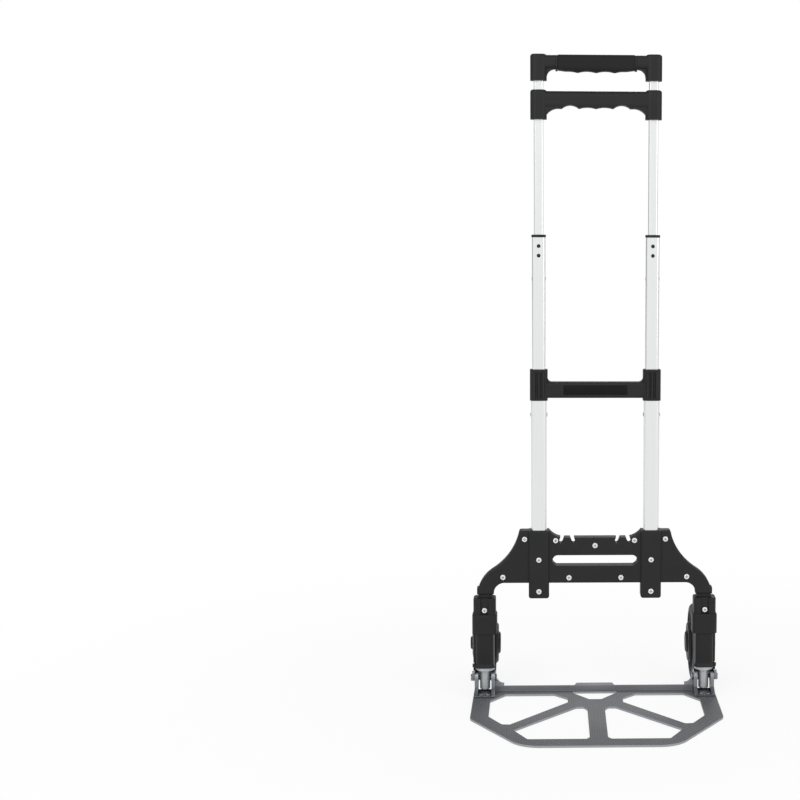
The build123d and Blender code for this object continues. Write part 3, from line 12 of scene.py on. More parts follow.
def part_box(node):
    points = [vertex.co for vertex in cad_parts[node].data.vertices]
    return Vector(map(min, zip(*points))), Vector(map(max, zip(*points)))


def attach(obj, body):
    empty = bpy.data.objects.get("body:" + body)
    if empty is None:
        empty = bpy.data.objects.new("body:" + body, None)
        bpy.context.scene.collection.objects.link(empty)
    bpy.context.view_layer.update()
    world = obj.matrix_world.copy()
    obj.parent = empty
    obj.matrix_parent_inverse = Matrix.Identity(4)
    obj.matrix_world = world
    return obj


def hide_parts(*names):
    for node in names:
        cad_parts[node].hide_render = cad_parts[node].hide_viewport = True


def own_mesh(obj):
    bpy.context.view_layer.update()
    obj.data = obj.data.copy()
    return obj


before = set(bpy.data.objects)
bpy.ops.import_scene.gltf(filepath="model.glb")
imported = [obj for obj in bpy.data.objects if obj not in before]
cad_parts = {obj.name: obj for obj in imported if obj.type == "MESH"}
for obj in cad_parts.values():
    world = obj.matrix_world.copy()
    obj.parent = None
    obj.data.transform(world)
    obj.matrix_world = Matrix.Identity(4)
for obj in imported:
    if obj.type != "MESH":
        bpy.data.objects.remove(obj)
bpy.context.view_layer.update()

Material = bpy.types.Material
Socket = bpy.types.NodeSocket
Tree = bpy.types.NodeTree
Triple = tuple[float, float, float]

LOG = logging.getLogger("hand_truck")
MM = 0.001
SIDES = ("left", "right")
WHITE = (1.0, 1.0, 1.0, 1.0)

# How alike the rounded and the true normal are where an edge starts to look rubbed, and where it is fully so
EDGE_STARTS = 0.995
EDGE_FULL = 0.86
EDGE_SAMPLES = 6

# Share of open space round a point where the painted shade of a hollow starts to darken, and where it is
# fully dark
HOLLOW_STARTS = 0.85
HOLLOW_FULL = 0.35
HOLLOW_SAMPLES = 8

# Bevels on modelled pieces: steps round a corner, steps over a rim, and a profile that is part of a circle
CORNER_STEPS = 8
RIM_STEPS = 3
ROUND_PROFILE = 0.5

# A face that points along an axis by more than this is an end of the block
END_FACING = 0.9

# Points nearer to each other than this are welded, in metres
WELD_DISTANCE = 1e-6


def both(stem: str) -> list[str]:
    """Name a piece on the left and on the right.

    Args:
        stem: the name without its side.

    Returns:
        The two names.
    """
    return [f"{side}_{stem}" for side in SIDES]


def linear(hex_colour: str) -> tuple[float, float, float, float]:
    """Turn an sRGB hex colour into linear light, by the curve of the sRGB standard.

    Args:
        hex_colour: colour such as "#2a2a2c".

    Returns:
        Red, green, blue and alpha in linear light.
    """
    channels = [int(hex_colour[i:i + 2], 16) / 255 for i in (1, 3, 5)]
    red, green, blue = [c / 12.92 if c <= 0.04045 else ((c + 0.055) / 1.055) ** 2.4 for c in channels]
    return red, green, blue, 1.0


def per_metre(size_mm: float) -> float:
    """Work out the texture scale that repeats a pattern once in so many millimetres.

    Args:
        size_mm: real size of one repeat.

    Returns:
        The scale.
    """
    return 1.0 / (size_mm * MM)


def add_node(
    tree: Tree,
    kind: str,
    inputs: dict | None = None,
    **settings: object,
) -> bpy.types.Node:
    """Add one node with its settings and links.

    Args:
        tree: node tree that gets the node.
        kind: Blender's name for the type of node.
        inputs: a value or an output socket for each input, by name or number.
        settings: properties of the node itself.

    Returns:
        The new node.
    """
    node = tree.nodes.new(kind)
    for name, value in settings.items():
        setattr(node, name, value)
    for key, value in (inputs or {}).items():
        if isinstance(value, Socket):
            tree.links.new(value, node.inputs[key])
        else:
            node.inputs[key].default_value = value
    return node


def blank_material(name: str) -> tuple[Material, Tree]:
    """Start a material with an empty node tree.

    Args:
        name: name of the material.

    Returns:
        The material and its node tree.
    """
    material = bpy.data.materials.new(name)
    material.use_nodes = True
    material.node_tree.nodes.clear()
    return material, material.node_tree


def edge_mask(tree: Tree, rounded: Socket) -> Socket:
    """Find the edges, where handling rubs a finish.

    Args:
        tree: node tree of the material.
        rounded: the normal with rounded edges.

    Returns:
        A mask that is 1 on the edges and 0 on the faces.
    """
    geometry = add_node(tree, "ShaderNodeNewGeometry")
    likeness = add_node(
        tree,
        "ShaderNodeVectorMath",
        {0: rounded, 1: geometry.outputs["Normal"]},
        operation="DOT_PRODUCT",
    )
    return add_node(
        tree,
        "ShaderNodeMapRange",
        {"Value": likeness.outputs["Value"], "From Min": EDGE_STARTS, "From Max": EDGE_FULL},
    ).outputs["Result"]


def hollow_shade_mask(tree: Tree, reach_mm: float) -> Socket:
    """Find grooves, recesses and inner corners, where little light comes, for the painted shade there.

    Args:
        tree: node tree of the material.
        reach_mm: how far across a hollow may be.

    Returns:
        A mask that is 1 deep in a hollow and 0 in the open.
    """
    shelter = add_node(
        tree,
        "ShaderNodeAmbientOcclusion",
        {"Distance": reach_mm * MM},
        samples=HOLLOW_SAMPLES,
    )
    return add_node(
        tree,
        "ShaderNodeMapRange",
        {"Value": shelter.outputs["AO"], "From Min": HOLLOW_STARTS, "From Max": HOLLOW_FULL},
    ).outputs["Result"]


@dataclass(frozen=True, kw_only=True)
class Coat:
    """What every finish has.

    Attributes:
        name: name of the material.
        rough: lowest and highest roughness.
        relief_mm: height of the fine relief.
        edge_mm: radius of the edges in the shading.
    """

    name: str
    rough: tuple[float, float]
    relief_mm: float
    edge_mm: float

    def start(self) -> tuple[Material, Tree, Socket, Socket]:
        """Start the material.

        Returns:
            The material, its node tree, the place on the object, and the normal with rounded edges.
        """
        material, tree = blank_material(self.name)
        place = add_node(tree, "ShaderNodeTexCoord").outputs["Object"]
        rounded = add_node(tree, "ShaderNodeBevel", {"Radius": self.edge_mm * MM}, samples=EDGE_SAMPLES)
        return material, tree, place, rounded.outputs["Normal"]

    def close(
        self,
        tree: Tree,
        colour: Socket,
        sheen: Socket,
        relief: Socket,
        normal: Socket,
        shader: dict[str, float],
    ) -> None:
        """End the material with its roughness, its relief, a Principled shader and the output.

        Args:
            tree: node tree of the material.
            colour: the finished colour.
            sheen: pattern that takes the roughness from its lowest to its highest.
            relief: pattern that raises the surface.
            normal: the normal that the relief stands on.
            shader: the shader's other inputs.
        """
        low, high = self.rough
        rough = add_node(tree, "ShaderNodeMapRange", {"Value": sheen, "To Min": low, "To Max": high})
        bump = add_node(
            tree,
            "ShaderNodeBump",
            {"Strength": 1.0, "Distance": self.relief_mm * MM, "Height": relief, "Normal": normal},
        )
        surface = add_node(tree, "ShaderNodeBsdfPrincipled", {
            "Base Color": colour,
            "Roughness": rough.outputs["Result"],
            "Normal": bump.outputs["Normal"],
            **shader,
        })
        add_node(tree, "ShaderNodeOutputMaterial", {"Surface": surface.outputs["BSDF"]})


@dataclass(frozen=True, kw_only=True)
class MouldedPlastic(Coat):
    """Moulded plastic or rubber: a fine matt grain, rubbed edges a little lighter, and painted shade that
    darkens the hollows.

    Attributes:
        deep: darker body colour.
        pale: lighter body colour.
        worn: colour of a rubbed edge.
        hollow: colour of the painted shade deep in a hollow.
        hollow_reach_mm: how far across a hollow may be.
        wear: how much of the worn colour shows on the edges.
        grain_mm: size of the grain.
        grain_detail: octaves of the grain.
        cloud_mm: size of the patches of darker and lighter body colour.
        cloud_detail: octaves of the patches.
        ior: index of refraction.
    """

    deep: str
    pale: str
    worn: str
    grain_mm: float
    ior: float
    hollow: str = "#09090a"
    hollow_reach_mm: float = 7.0
    wear: float = 0.5
    grain_detail: float = 3.0
    cloud_mm: float = 45.0
    cloud_detail: float = 4.0
    edge_mm: float = 0.9

    def make(self) -> Material:
        """Build the material.

        Returns:
            The material.
        """
        material, tree, place, normal = self.start()
        cloud = add_node(
            tree,
            "ShaderNodeTexNoise",
            {"Vector": place, "Scale": per_metre(self.cloud_mm), "Detail": self.cloud_detail},
        ).outputs["Fac"]
        grain = add_node(
            tree,
            "ShaderNodeTexNoise",
            {"Vector": place, "Scale": per_metre(self.grain_mm), "Detail": self.grain_detail},
        ).outputs["Fac"]
        body = add_node(
            tree,
            "ShaderNodeMix",
            {"Factor": cloud, "A": linear(self.deep), "B": linear(self.pale)},
            data_type="RGBA",
        )
        rubbed = add_node(
            tree,
            "ShaderNodeMath",
            {0: edge_mask(tree, normal), 1: cloud},
            operation="MULTIPLY",
        )
        share = add_node(
            tree,
            "ShaderNodeMath",
            {0: rubbed.outputs["Value"], 1: self.wear},
            operation="MULTIPLY",
        )
        open_colour = add_node(
            tree,
            "ShaderNodeMix",
            {"Factor": share.outputs["Value"], "A": body.outputs["Result"], "B": linear(self.worn)},
            data_type="RGBA",
        )
        # Painted shade: the colour goes towards the hollow colour where the surroundings close in
        colour = add_node(
            tree,
            "ShaderNodeMix",
            {
                "Factor": hollow_shade_mask(tree, self.hollow_reach_mm),
                "A": open_colour.outputs["Result"],
                "B": linear(self.hollow),
            },
            data_type="RGBA",
        )
        self.close(tree, colour.outputs["Result"], grain, grain, normal, {"IOR": self.ior})
        return material


@dataclass(frozen=True, kw_only=True)
class DrawnMetal(Coat):
    """Metal drawn along Z: satin, with fine lines along the tube that spread its shine sideways.

    Attributes:
        deep: darker colour of the lines.
        pale: lighter colour of the lines.
        line_mm: width of a line.
        line_length_mm: length of a line.
        line_detail: octaves of the lines.
        metalness: 1 for bright metal, less where a coat on it scatters light.
        anisotropy: how far the shine spreads to one side.
    """

    deep: str
    pale: str
    line_mm: float
    line_length_mm: float
    line_detail: float = 3.0
    metalness: float = 1.0
    anisotropy: float = 0.3
    edge_mm: float = 0.4

    def make(self) -> Material:
        """Build the material.

        Returns:
            The material.
        """
        material, tree, place, normal = self.start()
        across = per_metre(self.line_mm)
        stretched = add_node(
            tree,
            "ShaderNodeMapping",
            {"Vector": place, "Scale": (across, across, per_metre(self.line_length_mm))},
        )
        lines = add_node(
            tree,
            "ShaderNodeTexNoise",
            {"Vector": stretched.outputs["Vector"], "Scale": 1.0, "Detail": self.line_detail},
        ).outputs["Fac"]
        colour = add_node(
            tree,
            "ShaderNodeMix",
            {"Factor": lines, "A": linear(self.deep), "B": linear(self.pale)},
            data_type="RGBA",
        )
        self.close(tree, colour.outputs["Result"], lines, lines, normal, {
            "Metallic": self.metalness,
            "Anisotropic": self.anisotropy,
        })
        return material


@dataclass(frozen=True, kw_only=True)
class PlatedSteel(Coat):
    """Plated or bare steel: soft cloudy patches, brighter rubbed edges, and painted shade in its hollows.

    Attributes:
        deep: darker colour of the patches.
        pale: lighter colour of the patches.
        worn: colour of a rubbed edge.
        painted_shade: colour of the painted shade deep in a hollow.
        shade_reach_mm: how far across a hollow with painted shade may be.
        patch_mm: size of the patches.
        patch_detail: octaves of the patches.
        pit_mm: size of the pits.
        pit_detail: octaves of the pits.
    """

    deep: str
    pale: str
    worn: str
    patch_mm: float
    pit_mm: float
    painted_shade: str = "#3a3b3d"
    shade_reach_mm: float = 2.5
    patch_detail: float = 5.0
    pit_detail: float = 2.0
    edge_mm: float = 0.5

    def make(self) -> Material:
        """Build the material.

        Returns:
            The material.
        """
        material, tree, place, normal = self.start()
        patch = add_node(
            tree,
            "ShaderNodeTexNoise",
            {"Vector": place, "Scale": per_metre(self.patch_mm), "Detail": self.patch_detail},
        ).outputs["Fac"]
        pits = add_node(
            tree,
            "ShaderNodeTexNoise",
            {"Vector": place, "Scale": per_metre(self.pit_mm), "Detail": self.pit_detail},
        ).outputs["Fac"]
        plated = add_node(
            tree,
            "ShaderNodeMix",
            {"Factor": patch, "A": linear(self.deep), "B": linear(self.pale)},
            data_type="RGBA",
        )
        rubbed = add_node(
            tree,
            "ShaderNodeMix",
            {"Factor": edge_mask(tree, normal), "A": plated.outputs["Result"], "B": linear(self.worn)},
            data_type="RGBA",
        )
        # Painted shade: the colour darkens deep in the hollows, where the surroundings close in
        colour = add_node(
            tree,
            "ShaderNodeMix",
            {
                "Factor": hollow_shade_mask(tree, self.shade_reach_mm),
                "A": rubbed.outputs["Result"],
                "B": linear(self.painted_shade),
            },
            data_type="RGBA",
        )
        self.close(tree, colour.outputs["Result"], patch, pits, normal, {"Metallic": 1.0})
        return material


@dataclass(frozen=True, kw_only=True)
class CrosshatchedPlate(Coat):
    """Pressed aluminium plate: crossed ridges rolled into its top, plain satin metal on its edges.

    Attributes:
        groove: colour between the ridges.
        ridge: colour on the ridges.
        dull: darker colour of the plain metal.
        edge: lighter colour of the plain metal.
        pitch_mm: distance from ridge to ridge.
        ridge_turn: angle of the two sets of ridges about Z, in degrees.
        ridge_wave: heights on a sine wave where a ridge starts and where its flat top starts.
        top_facing: upward parts of the normal where the rolled top starts and where it is full.
        flange_mm: heights between which the flange stands.
        flange_shade: how much of the rolled top's darker colour the flange takes, as painted shade.
        patch_mm: size of the patches in the metal.
        patch_detail: octaves of the patches.
        metalness: below 1, since the worn rolled face scatters light.
    """

    groove: str
    ridge: str
    dull: str
    edge: str
    pitch_mm: float
    ridge_turn: float = 45.0
    ridge_wave: tuple[float, float] = (-0.2, 0.9)
    top_facing: tuple[float, float] = (0.7, 0.95)
    flange_mm: tuple[float, float] = (3.4, 11.6)
    flange_shade: float = 0.55
    patch_mm: float = 60.0
    patch_detail: float = 6.0
    metalness: float = 0.6
    edge_mm: float = 0.7

    def hatch(self, tree: Tree, place: Socket, turn: float) -> Socket:
        """Make one set of parallel ridges on the plate.

        Args:
            tree: node tree of the material.
            place: object coordinates.
            turn: angle of the ridges about Z, in degrees.

        Returns:
            Height of the ridges, from 0 to 1.
        """
        turned = add_node(
            tree,
            "ShaderNodeMapping",
            {"Vector": place, "Rotation": (0.0, 0.0, math.radians(turn))},
        )
        flat = add_node(tree, "ShaderNodeSeparateXYZ", {"Vector": turned.outputs["Vector"]})
        phase = add_node(
            tree,
            "ShaderNodeMath",
            {0: flat.outputs["X"], 1: 2 * math.pi * per_metre(self.pitch_mm)},
            operation="MULTIPLY",
        )
        wave = add_node(tree, "ShaderNodeMath", {0: phase.outputs["Value"]}, operation="SINE")
        low, high = self.ridge_wave
        return add_node(
            tree,
            "ShaderNodeMapRange",
            {"Value": wave.outputs["Value"], "From Min": low, "From Max": high},
        ).outputs["Result"]

    def rolled_top(self, tree: Tree) -> Socket:
        """Find the face that went under the roller.

        Args:
            tree: node tree of the material.

        Returns:
            A mask that is 1 on the plate's top.
        """
        normal = add_node(tree, "ShaderNodeTexCoord").outputs["Normal"]
        facing = add_node(tree, "ShaderNodeSeparateXYZ", {"Vector": normal})
        low, high = self.top_facing
        return add_node(
            tree,
            "ShaderNodeMapRange",
            {"Value": facing.outputs["Z"], "From Min": low, "From Max": high},
        ).outputs["Result"]

    def flange(self, tree: Tree, place: Socket) -> Socket:
        """Find the flange by its height, where painted shade darkens the metal towards the rolled top's grey.

        Args:
            tree: node tree of the material.
            place: object coordinates.

        Returns:
            A mask of the flange, at the strength of its painted shade.
        """
        parts = add_node(tree, "ShaderNodeSeparateXYZ", {"Vector": place})
        low, high = (level * MM for level in self.flange_mm)
        within = add_node(
            tree,
            "ShaderNodeMath",
            {0: parts.outputs["Z"], 1: (low + high) / 2, 2: (high - low) / 2},
            operation="COMPARE",
        )
        return add_node(
            tree,
            "ShaderNodeMath",
            {0: within.outputs["Value"], 1: self.flange_shade},
            operation="MULTIPLY",
        ).outputs["Value"]

    def make(self) -> Material:
        """Build the material.

        Returns:
            The material.
        """
        material, tree, place, normal = self.start()
        ridges = add_node(
            tree,
            "ShaderNodeMath",
            {0: self.hatch(tree, place, self.ridge_turn), 1: self.hatch(tree, place, -self.ridge_turn)},
            operation="MAXIMUM",
        )
        top = self.rolled_top(tree)
        height = add_node(
            tree,
            "ShaderNodeMath",
            {0: ridges.outputs["Value"], 1: top},
            operation="MULTIPLY",
        ).outputs["Value"]
        patch = add_node(
            tree,
            "ShaderNodeTexNoise",
            {"Vector": place, "Scale": per_metre(self.patch_mm), "Detail": self.patch_detail},
        ).outputs["Fac"]
        pressed = add_node(
            tree,
            "ShaderNodeMix",
            {"Factor": height, "A": linear(self.groove), "B": linear(self.ridge)},
            data_type="RGBA",
        )
        plain = add_node(
            tree,
            "ShaderNodeMix",
            {"Factor": patch, "A": linear(self.dull), "B": linear(self.edge)},
            data_type="RGBA",
        )
        # The flange takes some of the rolled top's grey: painted shade on its front face
        rolled = add_node(tree, "ShaderNodeMath", {0: top, 1: self.flange(tree, place)}, operation="MAXIMUM")
        bare = add_node(tree, "ShaderNodeMath", {0: 1.0, 1: rolled.outputs["Value"]}, operation="SUBTRACT")
        shown = add_node(
            tree,
            "ShaderNodeMath",
            {0: bare.outputs["Value"], 1: edge_mask(tree, normal)},
            operation="MAXIMUM",
        )
        colour = add_node(
            tree,
            "ShaderNodeMix",
            {"Factor": shown.outputs["Value"], "A": pressed.outputs["Result"], "B": plain.outputs["Result"]},
            data_type="RGBA",
        )
        self.close(tree, colour.outputs["Result"], patch, height, normal, {"Metallic": self.metalness})
        return material


class Finish(Enum):
    """The finishes on the hand truck."""

    # Polypropylene from a spark-eroded mould: nearly black, with a broad dull sheen that the grain breaks up.
    # Such a grain is about 0.2 mm. It is drawn at 0.9 mm, since it would not show otherwise.
    BLACK_PLASTIC = MouldedPlastic(
        name="black_polypropylene",
        deep="#161618",
        pale="#202022",
        worn="#38383b",
        rough=(0.42, 0.60),
        grain_mm=0.9,
        relief_mm=0.05,
        ior=1.36,
    )

    # Soft thermoplastic rubber moulded over the grip: matt, with almost no highlight.
    # Its grain of about 0.1 mm is drawn at 0.6 mm, since it would not show otherwise.
    SOFT_GRIP = MouldedPlastic(
        name="soft_grip_rubber",
        deep="#141415",
        pale="#1c1c1d",
        worn="#2c2c2e",
        rough=(0.62, 0.80),
        grain_mm=0.6,
        relief_mm=0.06,
        ior=1.34,
    )

    # Grey rubber moulded round the hub: chalky and dull, mottled, and darker between the treads with painted
    # shade.
    # Its grain of about 0.3 mm is drawn at 1.1 mm, since it would not show otherwise.
    GREY_TYRE = MouldedPlastic(
        name="grey_tyre_rubber",
        deep="#4e4e50",
        pale="#5e5e61",
        worn="#707073",
        hollow="#2c2c2e",
        rough=(0.65, 0.85),
        grain_mm=1.1,
        relief_mm=0.08,
        cloud_mm=18.0,
        ior=1.40,
    )

    # Steel blackened in an oxide bath: a dark skin that scatters light as plastic does, with a faint sheen.
    # Its grain is far finer than 0.1 mm. It is drawn at 0.7 mm, since it would not show otherwise.
    BLACK_OXIDE = MouldedPlastic(
        name="black_oxide_steel",
        deep="#121213",
        pale="#1a1a1c",
        worn="#343436",
        rough=(0.35, 0.50),
        grain_mm=0.7,
        relief_mm=0.02,
        ior=1.40,
    )

    # Coated polyester film: smooth, darker than the plastic round it, with a slight wave in its shine.
    LABEL_FILM = MouldedPlastic(
        name="blank_label_film",
        deep="#070708",
        pale="#0c0c0d",
        worn="#1c1c1e",
        rough=(0.30, 0.40),
        grain_mm=2.5,
        relief_mm=0.01,
        cloud_mm=25.0,
        ior=1.26,
    )

    # Aluminium drawn through a die and anodised: bright satin silver with hair lines along the tube.
    # Such lines are about 0.05 mm wide. They are drawn at 0.35 mm, since they would not show otherwise.
    TUBE = DrawnMetal(
        name="anodised_aluminium_tube",
        deep="#dfe1e2",
        pale="#eff0f0",
        rough=(0.24, 0.36),
        line_mm=0.35,
        line_length_mm=80.0,
        relief_mm=0.004,
    )

    # Steel tube plated with zinc and passivated: a grey that scatters light, so it stays pale in shade.
    # Its lines of about 0.05 mm are drawn at 0.5 mm, since they would not show otherwise.
    POST = DrawnMetal(
        name="zinc_plated_post",
        deep="#b4b8bb",
        pale="#c8ccce",
        rough=(0.38, 0.50),
        line_mm=0.5,
        line_length_mm=30.0,
        relief_mm=0.006,
        metalness=0.35,
    )

    # Aluminium plate, rolled with crossed ridges and pressed: grey and dull on top, with paler cut edges.
    # Such ridges are about 3 mm apart. They are drawn 5.2 mm apart, since they would not show otherwise.
    PLATE = CrosshatchedPlate(
        name="crosshatched_aluminium_plate",
        groove="#5a5b5e",
        ridge="#7e7f83",
        dull="#94969a",
        edge="#acaeb2",
        rough=(0.46, 0.62),
        pitch_mm=5.2,
        relief_mm=0.30,
    )

    # Pressed steel plated with zinc: a cloudy dull silver, with brighter edges and painted shade that darkens
    # its inner corners.
    # Its pits of about 0.1 mm are drawn at 0.8 mm, since they would not show otherwise.
    ZINC = PlatedSteel(
        name="zinc_plated_steel",
        deep="#84898e",
        pale="#9ea3a8",
        worn="#b6babe",
        painted_shade="#232425",
        shade_reach_mm=9.0,
        rough=(0.32, 0.46),
        patch_mm=9.0,
        pit_mm=0.8,
        relief_mm=0.01,
    )

    # Screws in bright zinc: small white glints, with painted shade in the recess of the head.
    # Their pits of about 0.1 mm are drawn at 0.6 mm, since they would not show otherwise.
    SCREW = PlatedSteel(
        name="bright_zinc_screw",
        deep="#e2e3e4",
        pale="#f3f3f4",
        worn="#fafafa",
        rough=(0.26, 0.38),
        patch_mm=4.0,
        pit_mm=0.6,
        relief_mm=0.008,
    )

    # Rolled spring steel: a half-bright grey, brighter where the tube rubs it.
    # Its pits of about 0.1 mm are drawn at 0.6 mm, since they would not show otherwise.
    SPRING = PlatedSteel(
        name="spring_steel",
        deep="#b4b6b8",
        pale="#c6c8ca",
        worn="#d8dadb",
        rough=(0.28, 0.40),
        patch_mm=5.0,
        pit_mm=0.6,
        relief_mm=0.006,
    )


class FinishBook:
    """The materials of the hand truck, each made once."""

    def __init__(self) -> None:
        """Make every finish."""
        self.materials = {finish: finish.value.make() for finish in Finish}

    def dress(self, finishes: dict[Finish, list[str]]) -> None:
        """Give CAD nodes their finishes.

        Args:
            finishes: names of the nodes under each finish.
        """
        for finish, names in finishes.items():
            for name in names:
                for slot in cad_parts[name].material_slots:
                    slot.material = self.materials[finish]
                LOG.info("%s: %s", name, finish.value.name)


def new_piece(name: str, mesh: bmesh.types.BMesh, material: Material, body: str) -> bpy.types.Object:
    """Turn a finished bmesh into a piece that rides on a body.

    Args:
        name: name of the piece.
        mesh: the shape, in metres, in the shared frame. It is freed.
        material: its finish.
        body: the CAD body that carries it.

    Returns:
        The new object.
    """
    data = bpy.data.meshes.new(name)
    mesh.to_mesh(data)
    mesh.free()
    data.materials.append(material)
    piece = bpy.data.objects.new(name, data)
    bpy.context.scene.collection.objects.link(piece)
    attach(piece, body)
    LOG.info("%s on %s: %d faces", name, body, len(data.polygons))
    return piece


def rounded_block(centre: Triple, size: Triple, axis: int, corner: float, edge: float) -> bmesh.types.BMesh:
    """Block with rounded corners round one axis and a softened rim at both ends of it.

    Args:
        centre: its middle, in metres.
        size: its full sizes along X, Y and Z.
        axis: 0, 1 or 2 for the axis that the rounded corners go round.
        corner: radius of the corners.
        edge: radius of the rims.

    Returns:
        The shape as a bmesh.
    """
    mesh = bmesh.new()
    bmesh.ops.create_cube(mesh, size=1.0, matrix=Matrix.Translation(centre) @ Matrix.Diagonal((*size, 1.0)))
    along = [e for e in mesh.edges if abs((e.verts[0].co - e.verts[1].co)[axis]) > size[axis] / 2]
    bmesh.ops.bevel(
        mesh,
        geom=along,
        offset=corner,
        segments=CORNER_STEPS,
        profile=ROUND_PROFILE,
        affect="EDGES",
        material=-1,
    )
    ends = [f for f in mesh.faces if abs(f.normal[axis]) > END_FACING]
    rims = {e for f in ends for e in f.edges}
    bmesh.ops.bevel(
        mesh,
        geom=list(rims),
        offset=edge,
        segments=RIM_STEPS,
        profile=ROUND_PROFILE,
        affect="EDGES",
        material=-1,
    )
    bmesh.ops.recalc_face_normals(mesh, faces=mesh.faces)
    for face in mesh.faces:
        face.smooth = True
    return mesh


class Assembly:
    """Pieces of the hand truck that belong together."""

    def build(self, book: FinishBook) -> None:
        """Make the pieces that the scene adds. A group with CAD nodes alone adds none.

        Args:
            book: the materials; not used here.
        """

    def finishes(self) -> dict[Finish, list[str]]:
        """List the group's CAD nodes by finish.

        Returns:
            Names of the nodes under each finish.
        """
        raise NotImplementedError


class ToePlate(Assembly):
    """Hinged plate on the floor, with its hinge brackets, pins and rivets."""

    def finishes(self) -> dict[Finish, list[str]]:
        """List the toe plate's CAD nodes by finish.

        Returns:
            Names of the nodes under each finish.
        """
        return {
            Finish.PLATE: ["toe_plate"],
            Finish.ZINC: [*both("hinge_bracket"), *both("hinge_pin"), "hinge_bracket_rivets"],
        }


class Legs(Assembly):
    """Leg posts, their sockets and collars, and the wheel brackets that turn on them."""

    def finishes(self) -> dict[Finish, list[str]]:
        """List the legs' CAD nodes by finish.

        Returns:
            Names of the nodes under each finish.
        """
        return {
            Finish.POST: [*both("leg_post"), "thrust_collars"],
            Finish.BLACK_PLASTIC: [*both("leg_socket"), *both("wheel_bracket")],
            Finish.SPRING: both("fold_spring"),
            Finish.SCREW: ["leg_screws"],
        }


class Wheels(Assembly):
    """Tyres, hubs, caps, bushes and axles."""

    def finishes(self) -> dict[Finish, list[str]]:
        """List the wheels' CAD nodes by finish.

        Returns:
            Names of the nodes under each finish.
        """
        return {
            Finish.GREY_TYRE: both("tyre"),
            Finish.BLACK_PLASTIC: [*both("wheel_hub"), *both("hub_cap"), *both("wheel_bush")],
            Finish.BLACK_OXIDE: [*both("axle_bolt"), *both("axle_nut")],
        }


class Chassis(Assembly):
    """The two shells that clasp the lower tubes, with their screws, and the caps in the ends of the tubes."""

    def finishes(self) -> dict[Finish, list[str]]:
        """List the chassis' CAD nodes by finish.

        Returns:
            Names of the nodes under each finish.
        """
        return {
            Finish.BLACK_PLASTIC: ["chassis_front_shell", "chassis_rear_shell", *both("tube_end_cap")],
            Finish.SCREW: ["chassis_screws", "tube_screws"],
        }


